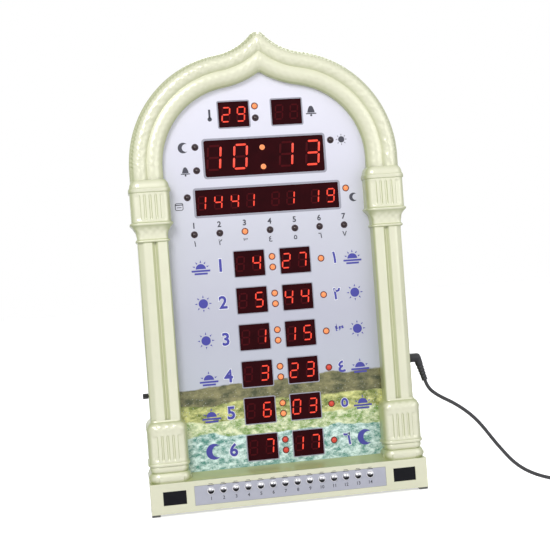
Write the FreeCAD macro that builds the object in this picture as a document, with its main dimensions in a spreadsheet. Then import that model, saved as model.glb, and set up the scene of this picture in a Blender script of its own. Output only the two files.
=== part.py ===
import FreeCAD, Part
import math
import os
import Sketcher

# Digital azan clock: an arched case with two columns on a plinth, a printed dial with
# seven-segment displays, fourteen push buttons, a volume knob and a mains adapter.
# Millimetres. X runs to the right of the dial, Y to the back, Z up. The origin lies
# on the floor under the middle of the plinth.

SIZES = {
    # case, from front to back
    "case_depth": 45.0,
    "cover_depth": 8.5,
    "dial_setback": 20.0,
    "shaft_setback": 6.5,
    "wall": 2.5,
    # case, across
    "opening_width": 197.6,
    "column_width": 28.8,
    "band_width": 31.6,
    "plinth_overhang": 5.4,
    # case, upwards
    "foot_height": 2.0,
    "plinth_height": 28.5,
    "base_height": 58.5,
    "shaft_height": 167.0,
    "capital_height": 59.0,
    "stilt_height": 11.0,
    # arch
    "arch_radius": 106.0,
    "ogee_angle": 9.0,
    "ogee_radius": 60.0,
    "tip_radius": 9.0,
    "roll_height": 6.5,
    "bead_height": 3.2,
    "valley_depth": 5.5,
    # column shaft
    "shaft_chamfer": 6.0,
    "shaft_chamfer_depth": 4.6,
    "groove_width": 5.8,
    "groove_depth": 3.4,
    "inner_chamfer": 1.8,
    "block_chamfer": 4.5,
    # mouldings round the columns
    "block_reach": 4.4,
    "ring_reach": 5.4,
    "torus_reach": 4.2,
    "torus_height": 9.0,
    "neck_reach": 3.0,
    "neck_height": 6.5,
    "ring_height": 3.0,
    "drum_height": 28.0,
    "flute_radius": 1.7,
    "flute_pitch": 5.2,
    "flute_depth": 1.1,
    "flutes": 5.0,
    # dial and its seat
    "dial_thickness": 2.0,
    "lip": 3.0,
    "seat_clearance": 0.2,
    "ledge_height": 4.5,
    "ledge_depth": 2.5,
    # displays
    "display_depth": 8.0,
    "display_inset": 0.4,
    "window_clearance": 0.15,
    "row_display_width": 29.4,
    "row_display_height": 24.6,
    "row_display_offset": 22.4,
    "row_pitch": 35.5,
    "first_row_height": 230.0,
    "rows": 6.0,
    "time_width": 116.4,
    "time_height": 34.8,
    "time_level": 332.5,
    "date_width": 139.6,
    "date_height": 24.7,
    "date_level": 290.8,
    "small_display_width": 29.2,
    "small_display_height": 24.3,
    "small_display_level": 374.0,
    "temperature_offset": -27.2,
    "iqamah_offset": 24.5,
    # lamps
    "lamp_radius": 2.5,
    "lamp_rise": 1.6,
    "lamp_bevel": 1.1,
    "lamp_hole_clearance": 0.15,
    "day_pitch": 24.4,
    "day_level": 261.0,
    "colon_spread": 10.2,
    "row_lamp_offset": 47.9,
    # plinth front
    "strip_width": 184.0,
    "strip_height": 18.0,
    "strip_level": 16.4,
    "strip_thickness": 0.6,
    "strip_recess": 0.6,
    "window_width": 21.6,
    "window_height": 12.7,
    "sensor_offset": 110.6,
    # push buttons
    "buttons": 14.0,
    "button_pitch": 11.8,
    "button_level": 19.9,
    "button_radius": 2.8,
    "button_rise": 2.2,
    "button_bevel": 0.9,
    "button_travel": 0.5,
    "button_clearance": 0.1,
    "strip_hole_clearance": 0.4,
    "flange_side": 7.0,
    "flange_thickness": 1.0,
    "stem_side": 2.4,
    "stem_length": 2.0,
    "switch_side": 6.0,
    "switch_height": 3.5,
    "plunger_radius": 1.6,
    "plunger_height": 0.8,
    # boards
    "board_thickness": 1.6,
    "board_half_width": 95.0,
    "board_top_half_width": 58.0,
    "board_top_height": 37.0,
    "board_clearance": 2.0,
    "button_board_height": 18.0,
    # volume control
    "knob_level": 110.5,
    "knob_depth_place": 5.5,
    "knob_radius": 2.6,
    "knob_length": 5.2,
    "knob_gap": 0.4,
    "spindle_radius": 1.5,
    "spindle_length": 9.0,
    "spindle_clearance": 0.08,
    "pot_side": 9.5,
    "pot_depth": 5.0,
    # power inlet and plug
    "jack_level": 125.0,
    "jack_depth_place": 5.0,
    "jack_width": 9.0,
    "jack_length": 14.0,
    "barrel_radius": 2.75,
    "barrel_length": 9.5,
    "barrel_clearance": 0.1,
    "plug_radius": 4.4,
    "plug_reach": 14.0,
    "leg_radius": 3.1,
    "leg_length": 24.0,
    "leg_tilt": 16.0,
    # cord
    "cord_diameter": 3.5,
    "cord_sides": 6.0,
    "coil_pitch": 4.0,
    "coil_first_radius": 23.0,
    "coil_half_turns": 3.0,
    "coil_tail": 20.0,
    # adapter
    "adapter_width": 42.0,
    "adapter_length": 56.0,
    "adapter_height": 27.0,
    "pin_radius": 2.0,
    "pin_length": 19.0,
    "pin_spacing": 19.0,
    "pin_inset": 14.0,
    "collar_inset": 5.0,
    # speaker
    "speaker_radius": 20.0,
    "speaker_level": 215.0,
    "speaker_depth": 8.0,
    "magnet_radius": 9.0,
    "magnet_height": 4.0,
    "basket_thickness": 1.2,
    # back
    "grille_slots": 7.0,
    "grille_slot_width": 2.0,
    "grille_pitch": 5.0,
    "keyhole_spacing": 120.0,
    "keyhole_level": 335.0,
    "keyhole_radius": 4.5,
    "keyhole_slot": 2.3,
    "keyhole_rise": 9.0,
    "screw_radius": 1.5,
    "screw_head_radius": 3.0,
    "screw_head_height": 2.0,
    "screw_length": 10.0,
    "screw_clearance": 0.15,
    "boss_radius": 4.0,
    # small electronics
    "coin_radius": 10.0,
    "coin_thickness": 3.2,
    "chip_width": 7.5,
    "chip_length": 18.0,
    "chip_height": 2.4,
}

doc = FreeCAD.newDocument("AzanClock")
sheet = doc.addObject("Spreadsheet::Sheet", "Sizes")
for line, (alias, number) in enumerate(SIZES.items(), start=1):
    sheet.set(f"A{line}", str(number))
    sheet.setAlias(f"A{line}", alias)
doc.recompute()


class Size:
    """A length, angle or count that keeps its value beside its expression in the sheet."""

    def __init__(self, value, text):
        self.value = value
        self.text = text

    def __add__(self, other):
        other = size_of(other)
        return Size(self.value + other.value, f"({self.text} + {other.text})")

    def __sub__(self, other):
        other = size_of(other)
        return Size(self.value - other.value, f"({self.text} - {other.text})")

    def __mul__(self, other):
        other = size_of(other)
        return Size(self.value * other.value, f"({self.text} * {other.text})")

    def __truediv__(self, other):
        other = size_of(other)
        return Size(self.value / other.value, f"({self.text} / {other.text})")

    def __neg__(self):
        return Size(-self.value, f"(0 - {self.text})")

    def __radd__(self, other):
        return size_of(other) + self

    def __rsub__(self, other):
        return size_of(other) - self

    def __rmul__(self, other):
        return size_of(other) * self


def size_of(thing):
    """A Size as it is, or a plain number made into one."""
    if isinstance(thing, Size):
        return thing
    return Size(float(thing), f"({float(thing)!r})")


def sine(angle):
    """Sine of an angle in degrees."""
    return Size(math.sin(math.radians(angle.value)), f"sin({angle.text} * 1 deg)")


def cosine(angle):
    """Cosine of an angle in degrees."""
    return Size(math.cos(math.radians(angle.value)), f"cos({angle.text} * 1 deg)")


def root(number):
    """Square root of a plain product of sizes."""
    return Size(math.sqrt(number.value), f"sqrt({number.text})")


class Sheet:
    """The driving sizes, each read from its cell by its alias."""

    def __getattr__(self, alias):
        return Size(float(getattr(sheet, alias)), f"Sizes.{alias}")


s = Sheet()

# Places that follow from the driving sizes
front = (s.button_rise - s.case_depth) / 2
back = (s.button_rise + s.case_depth) / 2
parting = back - s.cover_depth
dial_face = front + s.dial_setback
dial_back = dial_face + s.dial_thickness
shaft_face = front + s.shaft_setback
half_opening = s.opening_width / 2
column_outer = half_opening + s.column_width
arch_outer = half_opening + s.band_width
plinth_half = column_outer + s.plinth_overhang
plinth_base = s.foot_height
plinth_top = plinth_base + s.plinth_height
base_top = plinth_top + s.base_height
capital_foot = base_top + s.shaft_height
capital_top = capital_foot + s.capital_height
spring = capital_top + s.stilt_height
arch_x = arch_outer - s.arch_radius
ogee_x = arch_x + (s.arch_radius + s.ogee_radius) * sine(s.ogee_angle)
ogee_z = spring + (s.arch_radius + s.ogee_radius) * cosine(s.ogee_angle)
tip_reach = s.ogee_radius + s.tip_radius
tip_drop = root(tip_reach * tip_reach - ogee_x * ogee_x)
tip_z = ogee_z - tip_drop
dial_bottom = plinth_top + 0.6
board_face = dial_face + s.display_inset + s.display_depth
board_back = board_face + s.board_thickness
FORWARD = FreeCAD.Vector(0, 1, 0)
# Sides of the many small round pieces and of their holes
LAMP_SIDES = 10
BUTTON_SIDES = 14
HOLE_SIDES = 12
PLUG_SIDES = 16
FLUTE_SIDES = 8


def bind(item, **bindings):
    """Tie properties of an object to sizes; a double underscore stands for a dot."""
    for name, size in bindings.items():
        item.setExpression(name.replace("__", "."), size_of(size).text)


def place(item, x, y, z):
    """Put an object's placement at three bound coordinates."""
    bind(item, Placement__Base__x=x, Placement__Base__y=y, Placement__Base__z=z)


def box(name, x, y, z, width, depth, height):
    """A box from its lowest corner and its sides along X, Y and Z."""
    item = doc.addObject("Part::Box", name)
    bind(item, Length=width, Width=depth, Height=height)
    place(item, x, y, z)
    return item


def centred_box(name, x, y, z, width, depth, height):
    """A box whose corner is found from its middle in X and Z, its front at y."""
    return box(name, x - width / 2, y, z - height / 2, width, depth, height)


TURNS = {
    "X": FreeCAD.Rotation(FreeCAD.Vector(0, 1, 0), 90),
    "-X": FreeCAD.Rotation(FreeCAD.Vector(0, 1, 0), -90),
    "Y": FreeCAD.Rotation(FreeCAD.Vector(1, 0, 0), -90),
    "-Y": FreeCAD.Rotation(FreeCAD.Vector(1, 0, 0), 90),
    "Z": FreeCAD.Rotation(),
}


def cylinder(name, axis, x, y, z, radius, height):
    """A cylinder from the middle of its first end along a named axis."""
    item = doc.addObject("Part::Cylinder", name)
    item.Placement = FreeCAD.Placement(FreeCAD.Vector(), TURNS[axis])
    bind(item, Radius=radius, Height=height)
    place(item, x, y, z)
    return item


def prism(name, axis, x, y, z, sides, radius, height):
    """A regular prism from the middle of its first end along a named axis."""
    item = doc.addObject("Part::Prism", name)
    item.Polygon = sides
    item.Placement = FreeCAD.Placement(FreeCAD.Vector(), TURNS[axis])
    bind(item, Circumradius=radius, Height=height)
    place(item, x, y, z)
    return item


def bevelled(name, axis, x, y, z, sides, radius, height, bevel):
    """A regular prism whose first end has a bevelled rim."""
    body = prism(name + "_body", axis, x, y, z, sides, radius, height)
    body.recompute()
    start = body.Placement.Base
    way = body.Placement.Rotation.multVec(FreeCAD.Vector(0, 0, 1))
    rim = []
    for number, edge in enumerate(body.Shape.Edges, start=1):
        if all(abs((vertex.Point - start).dot(way)) < 1e-6 for vertex in edge.Vertexes):
            rim.append((number, size_of(bevel).value, size_of(bevel).value))
    item = doc.addObject("Part::Chamfer", name)
    item.Base = body
    item.Edges = rim
    return item


def fuse(name, parts):
    """Several overlapping or touching pieces joined into one solid."""
    item = doc.addObject("Part::MultiFuse", name)
    item.Shapes = parts
    item.Refine = True
    return item


def cut(name, base, tools):
    """A base with tools taken out of it."""
    item = doc.addObject("Part::Cut", name)
    item.Base = base
    if len(tools) > 1:
        tool = doc.addObject("Part::Compound", name + "_tools")
        tool.Links = tools
    else:
        tool = tools[0]
    item.Tool = tool
    item.Refine = True
    return item


def group(name, parts):
    """Separate solids that share one node."""
    item = doc.addObject("Part::Compound", name)
    item.Links = parts
    return item


def mirrored(name, source):
    """The mirror image of a piece across the clock's middle plane."""
    item = doc.addObject("Part::Mirroring", name)
    item.Source = source
    item.Normal = FreeCAD.Vector(1, 0, 0)
    return item


def sketch_on(name, plane, offset=None):
    """A loose sketch on the XY, XZ or YZ plane, moved along the plane's normal axis."""
    sketch = doc.addObject("Sketcher::SketchObject", name)
    if plane == "XZ":
        sketch.Placement = FreeCAD.Placement(
            FreeCAD.Vector(), FreeCAD.Rotation(FreeCAD.Vector(1, 0, 0), 90))
        if offset is not None:
            bind(sketch, Placement__Base__y=offset)
    if plane == "XY" and offset is not None:
        bind(sketch, Placement__Base__z=offset)
    return sketch


def fix_point(sketch, edge, end, x, y):
    """Tie one end of an edge to bound coordinates measured from the sketch's origin."""
    for kind, size in (("DistanceX", x), ("DistanceY", y)):
        size = size_of(size)
        number = sketch.addConstraint(
            Sketcher.Constraint(kind, -1, 1, edge, end, size.value))
        sketch.setExpression(f"Constraints[{number}]", size.text)


def draw(sketch, start, steps, closed=True):
    """Draw edges from a start point through steps of (x, y) or (x, y, radius, centre).

    A step with a radius is an arc about the given centre, which is only where the arc
    starts to be solved from. The last step of a closed outline is the start point.
    """
    here = start
    for number, step in enumerate(steps):
        x, y = size_of(step[0]), size_of(step[1])
        first = FreeCAD.Vector(size_of(here[0]).value, size_of(here[1]).value, 0)
        last = FreeCAD.Vector(x.value, y.value, 0)
        if len(step) == 2:
            edge = sketch.addGeometry(Part.LineSegment(first, last), False)
            start_end, last_end = 1, 2
        else:
            centre = FreeCAD.Vector(size_of(step[3][0]).value, size_of(step[3][1]).value, 0)
            radius = size_of(step[2])
            angles = [math.atan2(p.y - centre.y, p.x - centre.x) for p in (first, last)]
            sweep = (angles[1] - angles[0]) % (2 * math.pi)
            circle = Part.Circle(centre, FreeCAD.Vector(0, 0, 1), radius.value)
            if sweep < math.pi:
                arc = Part.ArcOfCircle(circle, angles[0], angles[0] + sweep)
                start_end, last_end = 1, 2
            else:
                arc = Part.ArcOfCircle(circle, angles[1], angles[1] + 2 * math.pi - sweep)
                start_end, last_end = 2, 1
            edge = sketch.addGeometry(arc, False)
            constraint = sketch.addConstraint(
                Sketcher.Constraint("Radius", edge, radius.value))
            sketch.setExpression(f"Constraints[{constraint}]", radius.text)
        if number == 0:
            first_joint = (edge, start_end)
            fix_point(sketch, edge, start_end, here[0], here[1])
        else:
            sketch.addConstraint(
                Sketcher.Constraint("Coincident", previous[0], previous[1], edge, start_end))
        if closed and number == len(steps) - 1:
            sketch.addConstraint(
                Sketcher.Constraint("Coincident", edge, last_end, first_joint[0], first_joint[1]))
        else:
            fix_point(sketch, edge, last_end, x, y)
        previous = (edge, last_end)
        here = (x, y)
    return sketch


def extrusion(name, sketch, direction, length):
    """A sketch extruded along a direction by a bound length."""
    item = doc.addObject("Part::Extrusion", name)
    item.Base = sketch
    item.DirMode = "Custom"
    item.Dir = direction
    item.Solid = True
    bind(item, LengthFwd=length)
    return item


def swept(name, section, path, mitred):
    """A section swept along a path sketch, with mitred or smooth corners."""
    item = doc.addObject("Part::Sweep", name)
    item.Sections = [section]
    item.Spine = (path, [f"Edge{n + 1}" for n in range(path.GeometryCount)])
    item.Solid = True
    item.Frenet = False
    item.Transition = "Right corner" if mitred else "Transformed"
    return item


def bulge(first, last, rise, parts):
    """Steps to last along a parabola that stands rise to the left of the way there."""
    ax, ay = size_of(first[0]), size_of(first[1])
    bx, by = size_of(last[0]), size_of(last[1])
    chord = root((bx - ax) * (bx - ax) + (by - ay) * (by - ay))
    steps = []
    for number in range(1, parts):
        share = number / parts
        height = size_of(rise) * (4 * share * (1 - share)) / chord
        steps.append((ax + (bx - ax) * share - (by - ay) * height,
                      ay + (by - ay) * share + (bx - ax) * height))
    return steps + [(bx, by)]


def arch_steps(inset):
    """Steps of the right half of the arch, a given distance inside its outer line."""
    main = s.arch_radius - inset
    ogee = s.ogee_radius + inset
    turn_x = arch_x + main * sine(s.ogee_angle)
    turn_z = spring + main * cosine(s.ogee_angle)
    return main, ogee, turn_x, turn_z


def half_silhouette(name, inset, y):
    """Sketch of the right half of the case's outline, a given distance inside it."""
    main, ogee, turn_x, turn_z = arch_steps(inset)
    tip = s.tip_radius - inset
    share = tip / (ogee + tip)
    touch_x = ogee_x * share
    touch_z = tip_z + tip_drop * share
    start = (0, plinth_base + inset)
    steps = [
        (plinth_half - inset, plinth_base + inset),
        (plinth_half - inset, plinth_top - inset),
        (column_outer - inset, plinth_top - inset),
        (column_outer - inset, capital_top + inset),
        (arch_outer - inset, capital_top + inset),
        (arch_outer - inset, spring),
        (turn_x, turn_z, main, (arch_x, spring)),
        (touch_x, touch_z, ogee, (ogee_x, ogee_z)),
        (0, tip_z + tip, tip, (0, tip_z)),
        start,
    ]
    return draw(sketch_on(name, "XZ", y), start, steps)


def silhouette(name, inset, y, depth):
    """A slab with the case's outline, a given distance inside it."""
    half = extrusion(name + "_half", half_silhouette(name + "_outline", inset, y),
                     FORWARD, depth)
    return fuse(name, [half, mirrored(name + "_other", half)])


def opening_slab(name, inset, bottom, y, depth):
    """A slab with the outline of the arched opening, whose point is at the top."""
    main, ogee, turn_x, turn_z = arch_steps(inset)
    peak_z = ogee_z - root(ogee * ogee - ogee_x * ogee_x)
    start = (0, bottom)
    steps = [
        (arch_outer - inset, bottom),
        (arch_outer - inset, spring),
        (turn_x, turn_z, main, (arch_x, spring)),
        (0, peak_z, ogee, (ogee_x, ogee_z)),
        start,
    ]
    outline = draw(sketch_on(name + "_outline", "XZ", y), start, steps)
    half = extrusion(name + "_half", outline, FORWARD, depth)
    return fuse(name, [half, mirrored(name + "_other", half)])


def arch_band():
    """Right half of the arch: a hollow rolled moulding swept along the ogee."""
    edge = arch_outer
    roll = s.band_width * 0.52
    side = shaft_face + s.valley_depth * 1.6
    floor_y = shaft_face + s.valley_depth + 3.5
    roll_start = (edge, side)
    roll_end = (edge - roll, shaft_face + s.valley_depth)
    bead_end = (half_opening + 2, shaft_face + s.valley_depth + 1)
    seat = half_opening + s.lip
    start = (edge, parting)
    steps = [
        roll_start,
        *bulge(roll_start, roll_end, s.roll_height, 6),
        *bulge(roll_end, bead_end, s.bead_height, 4),
        (half_opening, shaft_face + s.valley_depth + 3),
        (half_opening, dial_face),
        (seat, dial_face),
        (seat, parting),
        (seat + s.wall, parting),
        (seat + s.wall, floor_y),
        (edge - s.wall, floor_y),
        (edge - s.wall, parting),
        start,
    ]
    section = draw(sketch_on("band_section", "XY", capital_top), start, steps)
    end_angle = size_of(58)
    turn_x = arch_x + s.arch_radius * sine(s.ogee_angle)
    turn_z = spring + s.arch_radius * cosine(s.ogee_angle)
    path_steps = [
        (arch_outer, spring),
        (turn_x, turn_z, s.arch_radius, (arch_x, spring)),
        (ogee_x - s.ogee_radius * sine(end_angle), ogee_z - s.ogee_radius * cosine(end_angle),
         s.ogee_radius, (ogee_x, ogee_z)),
    ]
    path = draw(sketch_on("band_path", "XZ"), (arch_outer, capital_top), path_steps, closed=False)
    band = swept("band_sweep", section, path, mitred=False)
    beyond = box("beyond_middle", -s.arch_radius, front, spring, s.arch_radius,
                 s.case_depth, s.arch_radius + s.ogee_radius + s.band_width)
    return cut("arch_half", band, [beyond])


def tip_cutter():
    """What rounds the sharp peak of the arch: a block less a round."""
    share = s.tip_radius / tip_reach
    touch_x = ogee_x * share
    touch_z = tip_z + tip_drop * share
    block = box("tip_block", -touch_x, front, touch_z, touch_x * 2, s.case_depth,
                s.tip_radius * 2)
    rounder = cylinder("tip_round", "Y", 0, front, tip_z, s.tip_radius, s.case_depth)
    return cut("tip_cutter", block, [rounder])


def shaft():
    """Right column's shaft with two flats, a groove and chamfers, hollow at the back."""
    middle = half_opening + s.column_width / 2 - 1.5
    seat = half_opening + s.lip
    floor_y = shaft_face + s.groove_depth + s.wall + 0.6
    start = (column_outer, parting)
    steps = [
        (column_outer, shaft_face + s.shaft_chamfer_depth),
        (column_outer - s.shaft_chamfer, shaft_face),
        (middle + s.groove_width / 2, shaft_face),
        (middle, shaft_face + s.groove_depth),
        (middle - s.groove_width / 2, shaft_face),
        (half_opening + s.inner_chamfer, shaft_face),
        (half_opening, shaft_face + s.inner_chamfer * 1.5),
        (half_opening, dial_face),
        (seat, dial_face),
        (seat, parting),
        (seat + s.wall, parting),
        (seat + s.wall, floor_y),
        (column_outer - s.wall, floor_y),
        (column_outer - s.wall, parting),
        start,
    ]
    section = draw(sketch_on("shaft_section", "XY", plinth_top), start, steps)
    return extrusion("shaft", section, FreeCAD.Vector(0, 0, 1), capital_top - plinth_top)


def plan_path(name, level):
    """Path round a column's inner side, front and outer side, with cut corners."""
    corner = s.block_chamfer
    steps = [
        (half_opening, shaft_face + corner),
        (half_opening + corner, shaft_face),
        (column_outer - s.shaft_chamfer, shaft_face),
        (column_outer, shaft_face + s.shaft_chamfer_depth),
        (column_outer, parting),
    ]
    start = (half_opening, dial_face)
    return draw(sketch_on(name, "XY", level), start, steps, closed=False)


CURVE_PARTS = 4


def moulding(name, level, steps):
    """A moulding round the right column from steps of (reach, height above level).

    A third number makes the step a curve, standing out by it or sunk in where negative.
    """
    root_reach = -s.wall * 0.6

    def at(reach, height):
        return (half_opening - reach, level + height)

    start = at(root_reach, steps[0][1])
    drawn = []
    here = start
    for step in steps:
        point = at(step[0], step[1])
        if len(step) == 2:
            drawn.append(point)
        else:
            drawn.extend(bulge(here, point, step[2], CURVE_PARTS))
        here = point
    drawn.append(at(root_reach, steps[-1][1]))
    drawn.append(start)
    section = draw(sketch_on(name + "_section", "XZ", dial_face), start, drawn)
    return swept(name, section, plan_path(name + "_path", level), mitred=True)


def flute_row(name, level, height):
    """Round flutes across the front of a column's block."""
    face = shaft_face - s.block_reach
    middle = half_opening + (s.block_chamfer + s.column_width - s.shaft_chamfer) / 2
    count = int(s.flutes.value)
    tools = []
    for number in range(count):
        x = middle + s.flute_pitch * (number - (count - 1) / 2)
        y = face - s.flute_radius + s.flute_depth
        tools.append(prism(f"{name}_{number + 1}", "Z", x, y, level, FLUTE_SIDES,
                           s.flute_radius, height))
    return tools


def column_base():
    """Moulded base of the right column: torus, neck, ring, fluted drum and bell."""
    neck = s.torus_height + s.neck_height
    drum = neck + s.ring_height
    drum_top = drum + s.drum_height
    base = moulding("base_moulding", plinth_top, [
        (s.torus_reach, 0),
        (s.torus_reach, s.torus_height, 1.7),
        (s.neck_reach, s.torus_height),
        (s.neck_reach, neck, 1.0),
        (s.ring_reach, neck),
        (s.ring_reach, drum),
        (s.block_reach, drum),
        (s.block_reach, drum_top),
        (0.3, s.base_height, 1.6),
    ])
    margin = 2.0
    return cut("column_base", base,
               flute_row("base_flute", plinth_top + drum + margin, s.drum_height - 2 * margin))


def column_capital():
    """Moulded capital of the right column: ring, bell, fluted block and slope."""
    necking = size_of(2.4)
    bell = size_of(16)
    block = size_of(19)
    block_top = block + s.drum_height
    top_ring = block_top + s.ring_height + 1
    capital = moulding("capital_moulding", capital_foot, [
        (0.3, 0),
        (0.3, necking, 1.1),
        (s.ring_reach, bell, -1.8),
        (s.ring_reach, block, 1.0),
        (s.block_reach, block),
        (s.block_reach, block_top),
        (s.ring_reach, block_top),
        (s.ring_reach, top_ring, 0.6),
        (s.block_reach, top_ring),
        (arch_outer - column_outer, s.capital_height),
    ])
    margin = 1.5
    return cut("column_capital", capital,
               flute_row("capital_flute", capital_foot + block + margin,
                         s.drum_height - 2 * margin))


def plinth():
    """Plinth: a hollow bar with the dial's sloping lower ledge along its top."""
    shell = box("plinth_block", -plinth_half, front, plinth_base, plinth_half * 2,
                parting - front, s.plinth_height)
    room = box("plinth_room", -plinth_half + s.wall, front + s.wall, plinth_base + s.wall,
               (plinth_half - s.wall) * 2, s.case_depth, s.plinth_height - s.wall * 2)
    start = (front + s.ledge_depth, plinth_top - s.wall)
    profile = draw(sketch_on("ledge_section", "XY"), start, [
        (dial_face, plinth_top - s.wall),
        (dial_face, plinth_top + s.ledge_height),
        (dial_face - 2, plinth_top + s.ledge_height),
        (front + s.ledge_depth, plinth_top),
        start,
    ])
    profile.Placement = FreeCAD.Placement(
        FreeCAD.Vector(), FreeCAD.Rotation(FreeCAD.Vector(1, 1, 1), 120))
    bind(profile, Placement__Base__x=-half_opening - 1)
    ledge = extrusion("ledge", profile, FreeCAD.Vector(1, 0, 0), half_opening * 2 + 2)
    return fuse("plinth", [cut("plinth_shell", shell, [room]), ledge])


def button_x(number):
    """Place of a push button along the plinth."""
    return s.button_pitch * (number - (s.buttons - 1) / 2)


def screw_places():
    """Where the case screws stand: (x, z, face inside the front that carries the boss)."""
    low = plinth_base + s.plinth_height / 2
    side = (half_opening + s.lip + s.wall + column_outer - s.wall) / 2
    in_plinth = front + s.wall - 1
    in_column = shaft_face + s.groove_depth + s.wall - 1
    return [
        (-plinth_half + 7, low, in_plinth), (plinth_half - 7, low, in_plinth),
        (-side, base_top + 70, in_column), (side, base_top + 70, in_column),
        (-side, capital_foot - 10, in_column), (side, capital_foot - 10, in_column),
    ]


def front_frame():
    """The moulded front: arch, columns and plinth in one shell open to the back."""
    right = fuse("right_half", [arch_band(), shaft(), column_base(), column_capital()])
    left = mirrored("left_half", right)
    bosses = []
    for number, (x, z, seat) in enumerate(screw_places(), start=1):
        bosses.append(prism(f"boss_{number}", "Y", x, seat, z, HOLE_SIDES, s.boss_radius,
                            parting - seat))
    whole = fuse("frame_solid", [right, left, plinth()] + bosses)
    tools = [tip_cutter()]
    tools.append(centred_box("strip_recess", 0, front, s.strip_level, s.strip_width + 0.4,
                             s.strip_recess, s.strip_height + 0.4))
    for number in range(int(s.buttons.value)):
        tools.append(prism(f"guide_{number + 1}", "Y", button_x(number), front,
                           s.button_level, BUTTON_SIDES,
                           s.button_radius + s.button_clearance, s.wall * 2))
    for side in (-1, 1):
        tools.append(centred_box(f"sensor_hole_{side + 2}", s.sensor_offset * side, front,
                                 s.strip_level, s.window_width + 0.2, s.wall * 2,
                                 s.window_height + 0.2))
    tools.append(cylinder("knob_hole", "-X", -column_outer + s.wall * 2, s.knob_depth_place,
                          s.knob_level, s.spindle_radius + 0.6, s.wall * 3))
    tools.append(cylinder("jack_hole", "X", column_outer - s.wall * 2, s.jack_depth_place,
                          s.jack_level, s.plug_radius - 0.8, s.wall * 3))
    tools.append(centred_box("ribbon_gap", 0, dial_back + 4, plinth_top, 30, s.wall * 2,
                             s.wall * 4))
    for number, (x, z, _) in enumerate(screw_places(), start=1):
        tools.append(prism(f"screw_hole_{number}", "Y", x, parting - 8, z, HOLE_SIDES,
                           s.screw_radius + s.screw_clearance, size_of(9)))
    return cut("front_frame", whole, tools)


def back_cover():
    """Tray that closes the back, with grille, keyholes and screw holes."""
    outer = silhouette("cover_outer", size_of(0), parting, s.cover_depth)
    room = silhouette("cover_room", s.wall, parting, s.cover_depth - s.wall)
    tools = [room]
    for number in range(int(s.grille_slots.value)):
        z = s.speaker_level + s.grille_pitch * (number - (s.grille_slots - 1) / 2)
        drop = abs(number - (s.grille_slots.value - 1) / 2) / s.grille_slots.value
        width = s.speaker_radius * (1.7 - 1.2 * drop)
        tools.append(centred_box(f"grille_{number + 1}", 0, parting, z, width, s.case_depth,
                                 s.grille_slot_width))
    for side in (-1, 1):
        x = s.keyhole_spacing / 2 * side
        tools.append(cylinder(f"keyhole_{side + 2}", "Y", x, parting, s.keyhole_level,
                              s.keyhole_radius, s.case_depth))
        tools.append(box(f"keyslot_{side + 2}", x - s.keyhole_slot, parting, s.keyhole_level,
                         s.keyhole_slot * 2, s.case_depth, s.keyhole_rise))
    posts = []
    for number, (x, z, _) in enumerate(screw_places(), start=1):
        posts.append(prism(f"post_{number}", "Y", x, parting, z, HOLE_SIDES, s.boss_radius,
                           s.cover_depth - s.wall * 0.5))
        tools.append(prism(f"cover_hole_{number}", "Y", x, parting - 1, z, HOLE_SIDES,
                           s.screw_radius + s.screw_clearance, s.case_depth))
        tools.append(prism(f"head_seat_{number}", "Y", x, back - s.screw_head_height, z,
                           HOLE_SIDES, s.screw_head_radius + s.screw_clearance,
                           s.case_depth))
    tray = cut("cover_tray", outer, [room])
    return cut("back_cover", fuse("cover_solid", [tray] + posts), tools[1:])


def display_places():
    """Each display's name, middle in X and Z, width and height."""
    places = [
        ("time_display", size_of(0), s.time_level, s.time_width, s.time_height),
        ("date_display", size_of(0), s.date_level, s.date_width, s.date_height),
        ("temperature_display", s.temperature_offset, s.small_display_level,
         s.small_display_width, s.small_display_height),
        ("iqamah_display", s.iqamah_offset, s.small_display_level,
         s.small_display_width, s.small_display_height),
    ]
    for row in range(int(s.rows.value)):
        level = s.first_row_height - s.row_pitch * row
        for name, side in (("hour", -1), ("minute", 1)):
            places.append((f"{name}_display_{row + 1}", s.row_display_offset * side, level,
                           s.row_display_width, s.row_display_height))
    return places


def lamp_places():
    """Where the lamps stand, by node."""
    rows = [s.first_row_height - s.row_pitch * row for row in range(int(s.rows.value))]
    half = s.colon_spread / 2
    return {
        "day_leds": [(s.day_pitch * (day - 3), s.day_level) for day in range(7)],
        "status_leds": [
            (size_of(-66.6), s.time_level + 11.8), (size_of(-66.6), s.time_level - 10.6),
            (size_of(65.6), s.time_level + 11.8),
            (-s.date_width / 2 - 7.6, s.date_level + 5.9),
            (s.date_width / 2 + 7.6, s.date_level + 5.9),
            (size_of(-6.4), s.small_display_level + 7.0),
            (size_of(-6.4), s.small_display_level - 4.4),
        ],
        "colon_leds": [(size_of(0), z + step) for z in rows for step in (half, -half)],
        "row_leds": [(s.row_lamp_offset, z) for z in rows],
    }


def dial_panel():
    """Printed sheet behind the arch, cut out for the displays and the lamps."""
    inset = s.band_width - s.lip + s.seat_clearance
    sheet_slab = opening_slab("dial_sheet", inset, dial_bottom, dial_face, s.dial_thickness)
    tools = []
    for name, x, z, width, height in display_places():
        tools.append(centred_box("window_" + name, x, dial_face - 1, z,
                                 width + s.window_clearance * 2, s.dial_thickness + 2,
                                 height + s.window_clearance * 2))
    for name, spots in lamp_places().items():
        for number, (x, z) in enumerate(spots, start=1):
            tools.append(prism(f"hole_{name}_{number}", "Y", x, dial_face - 1, z, LAMP_SIDES,
                               s.lamp_radius + s.lamp_hole_clearance, s.dial_thickness + 2))
    return cut("dial_panel", sheet_slab, tools)


def displays():
    """Seven-segment display blocks, seated on the main board."""
    made = []
    for name, x, z, width, height in display_places():
        made.append(centred_box(name, x, dial_face + s.display_inset, z, width,
                                s.display_depth, height))
    return made


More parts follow.
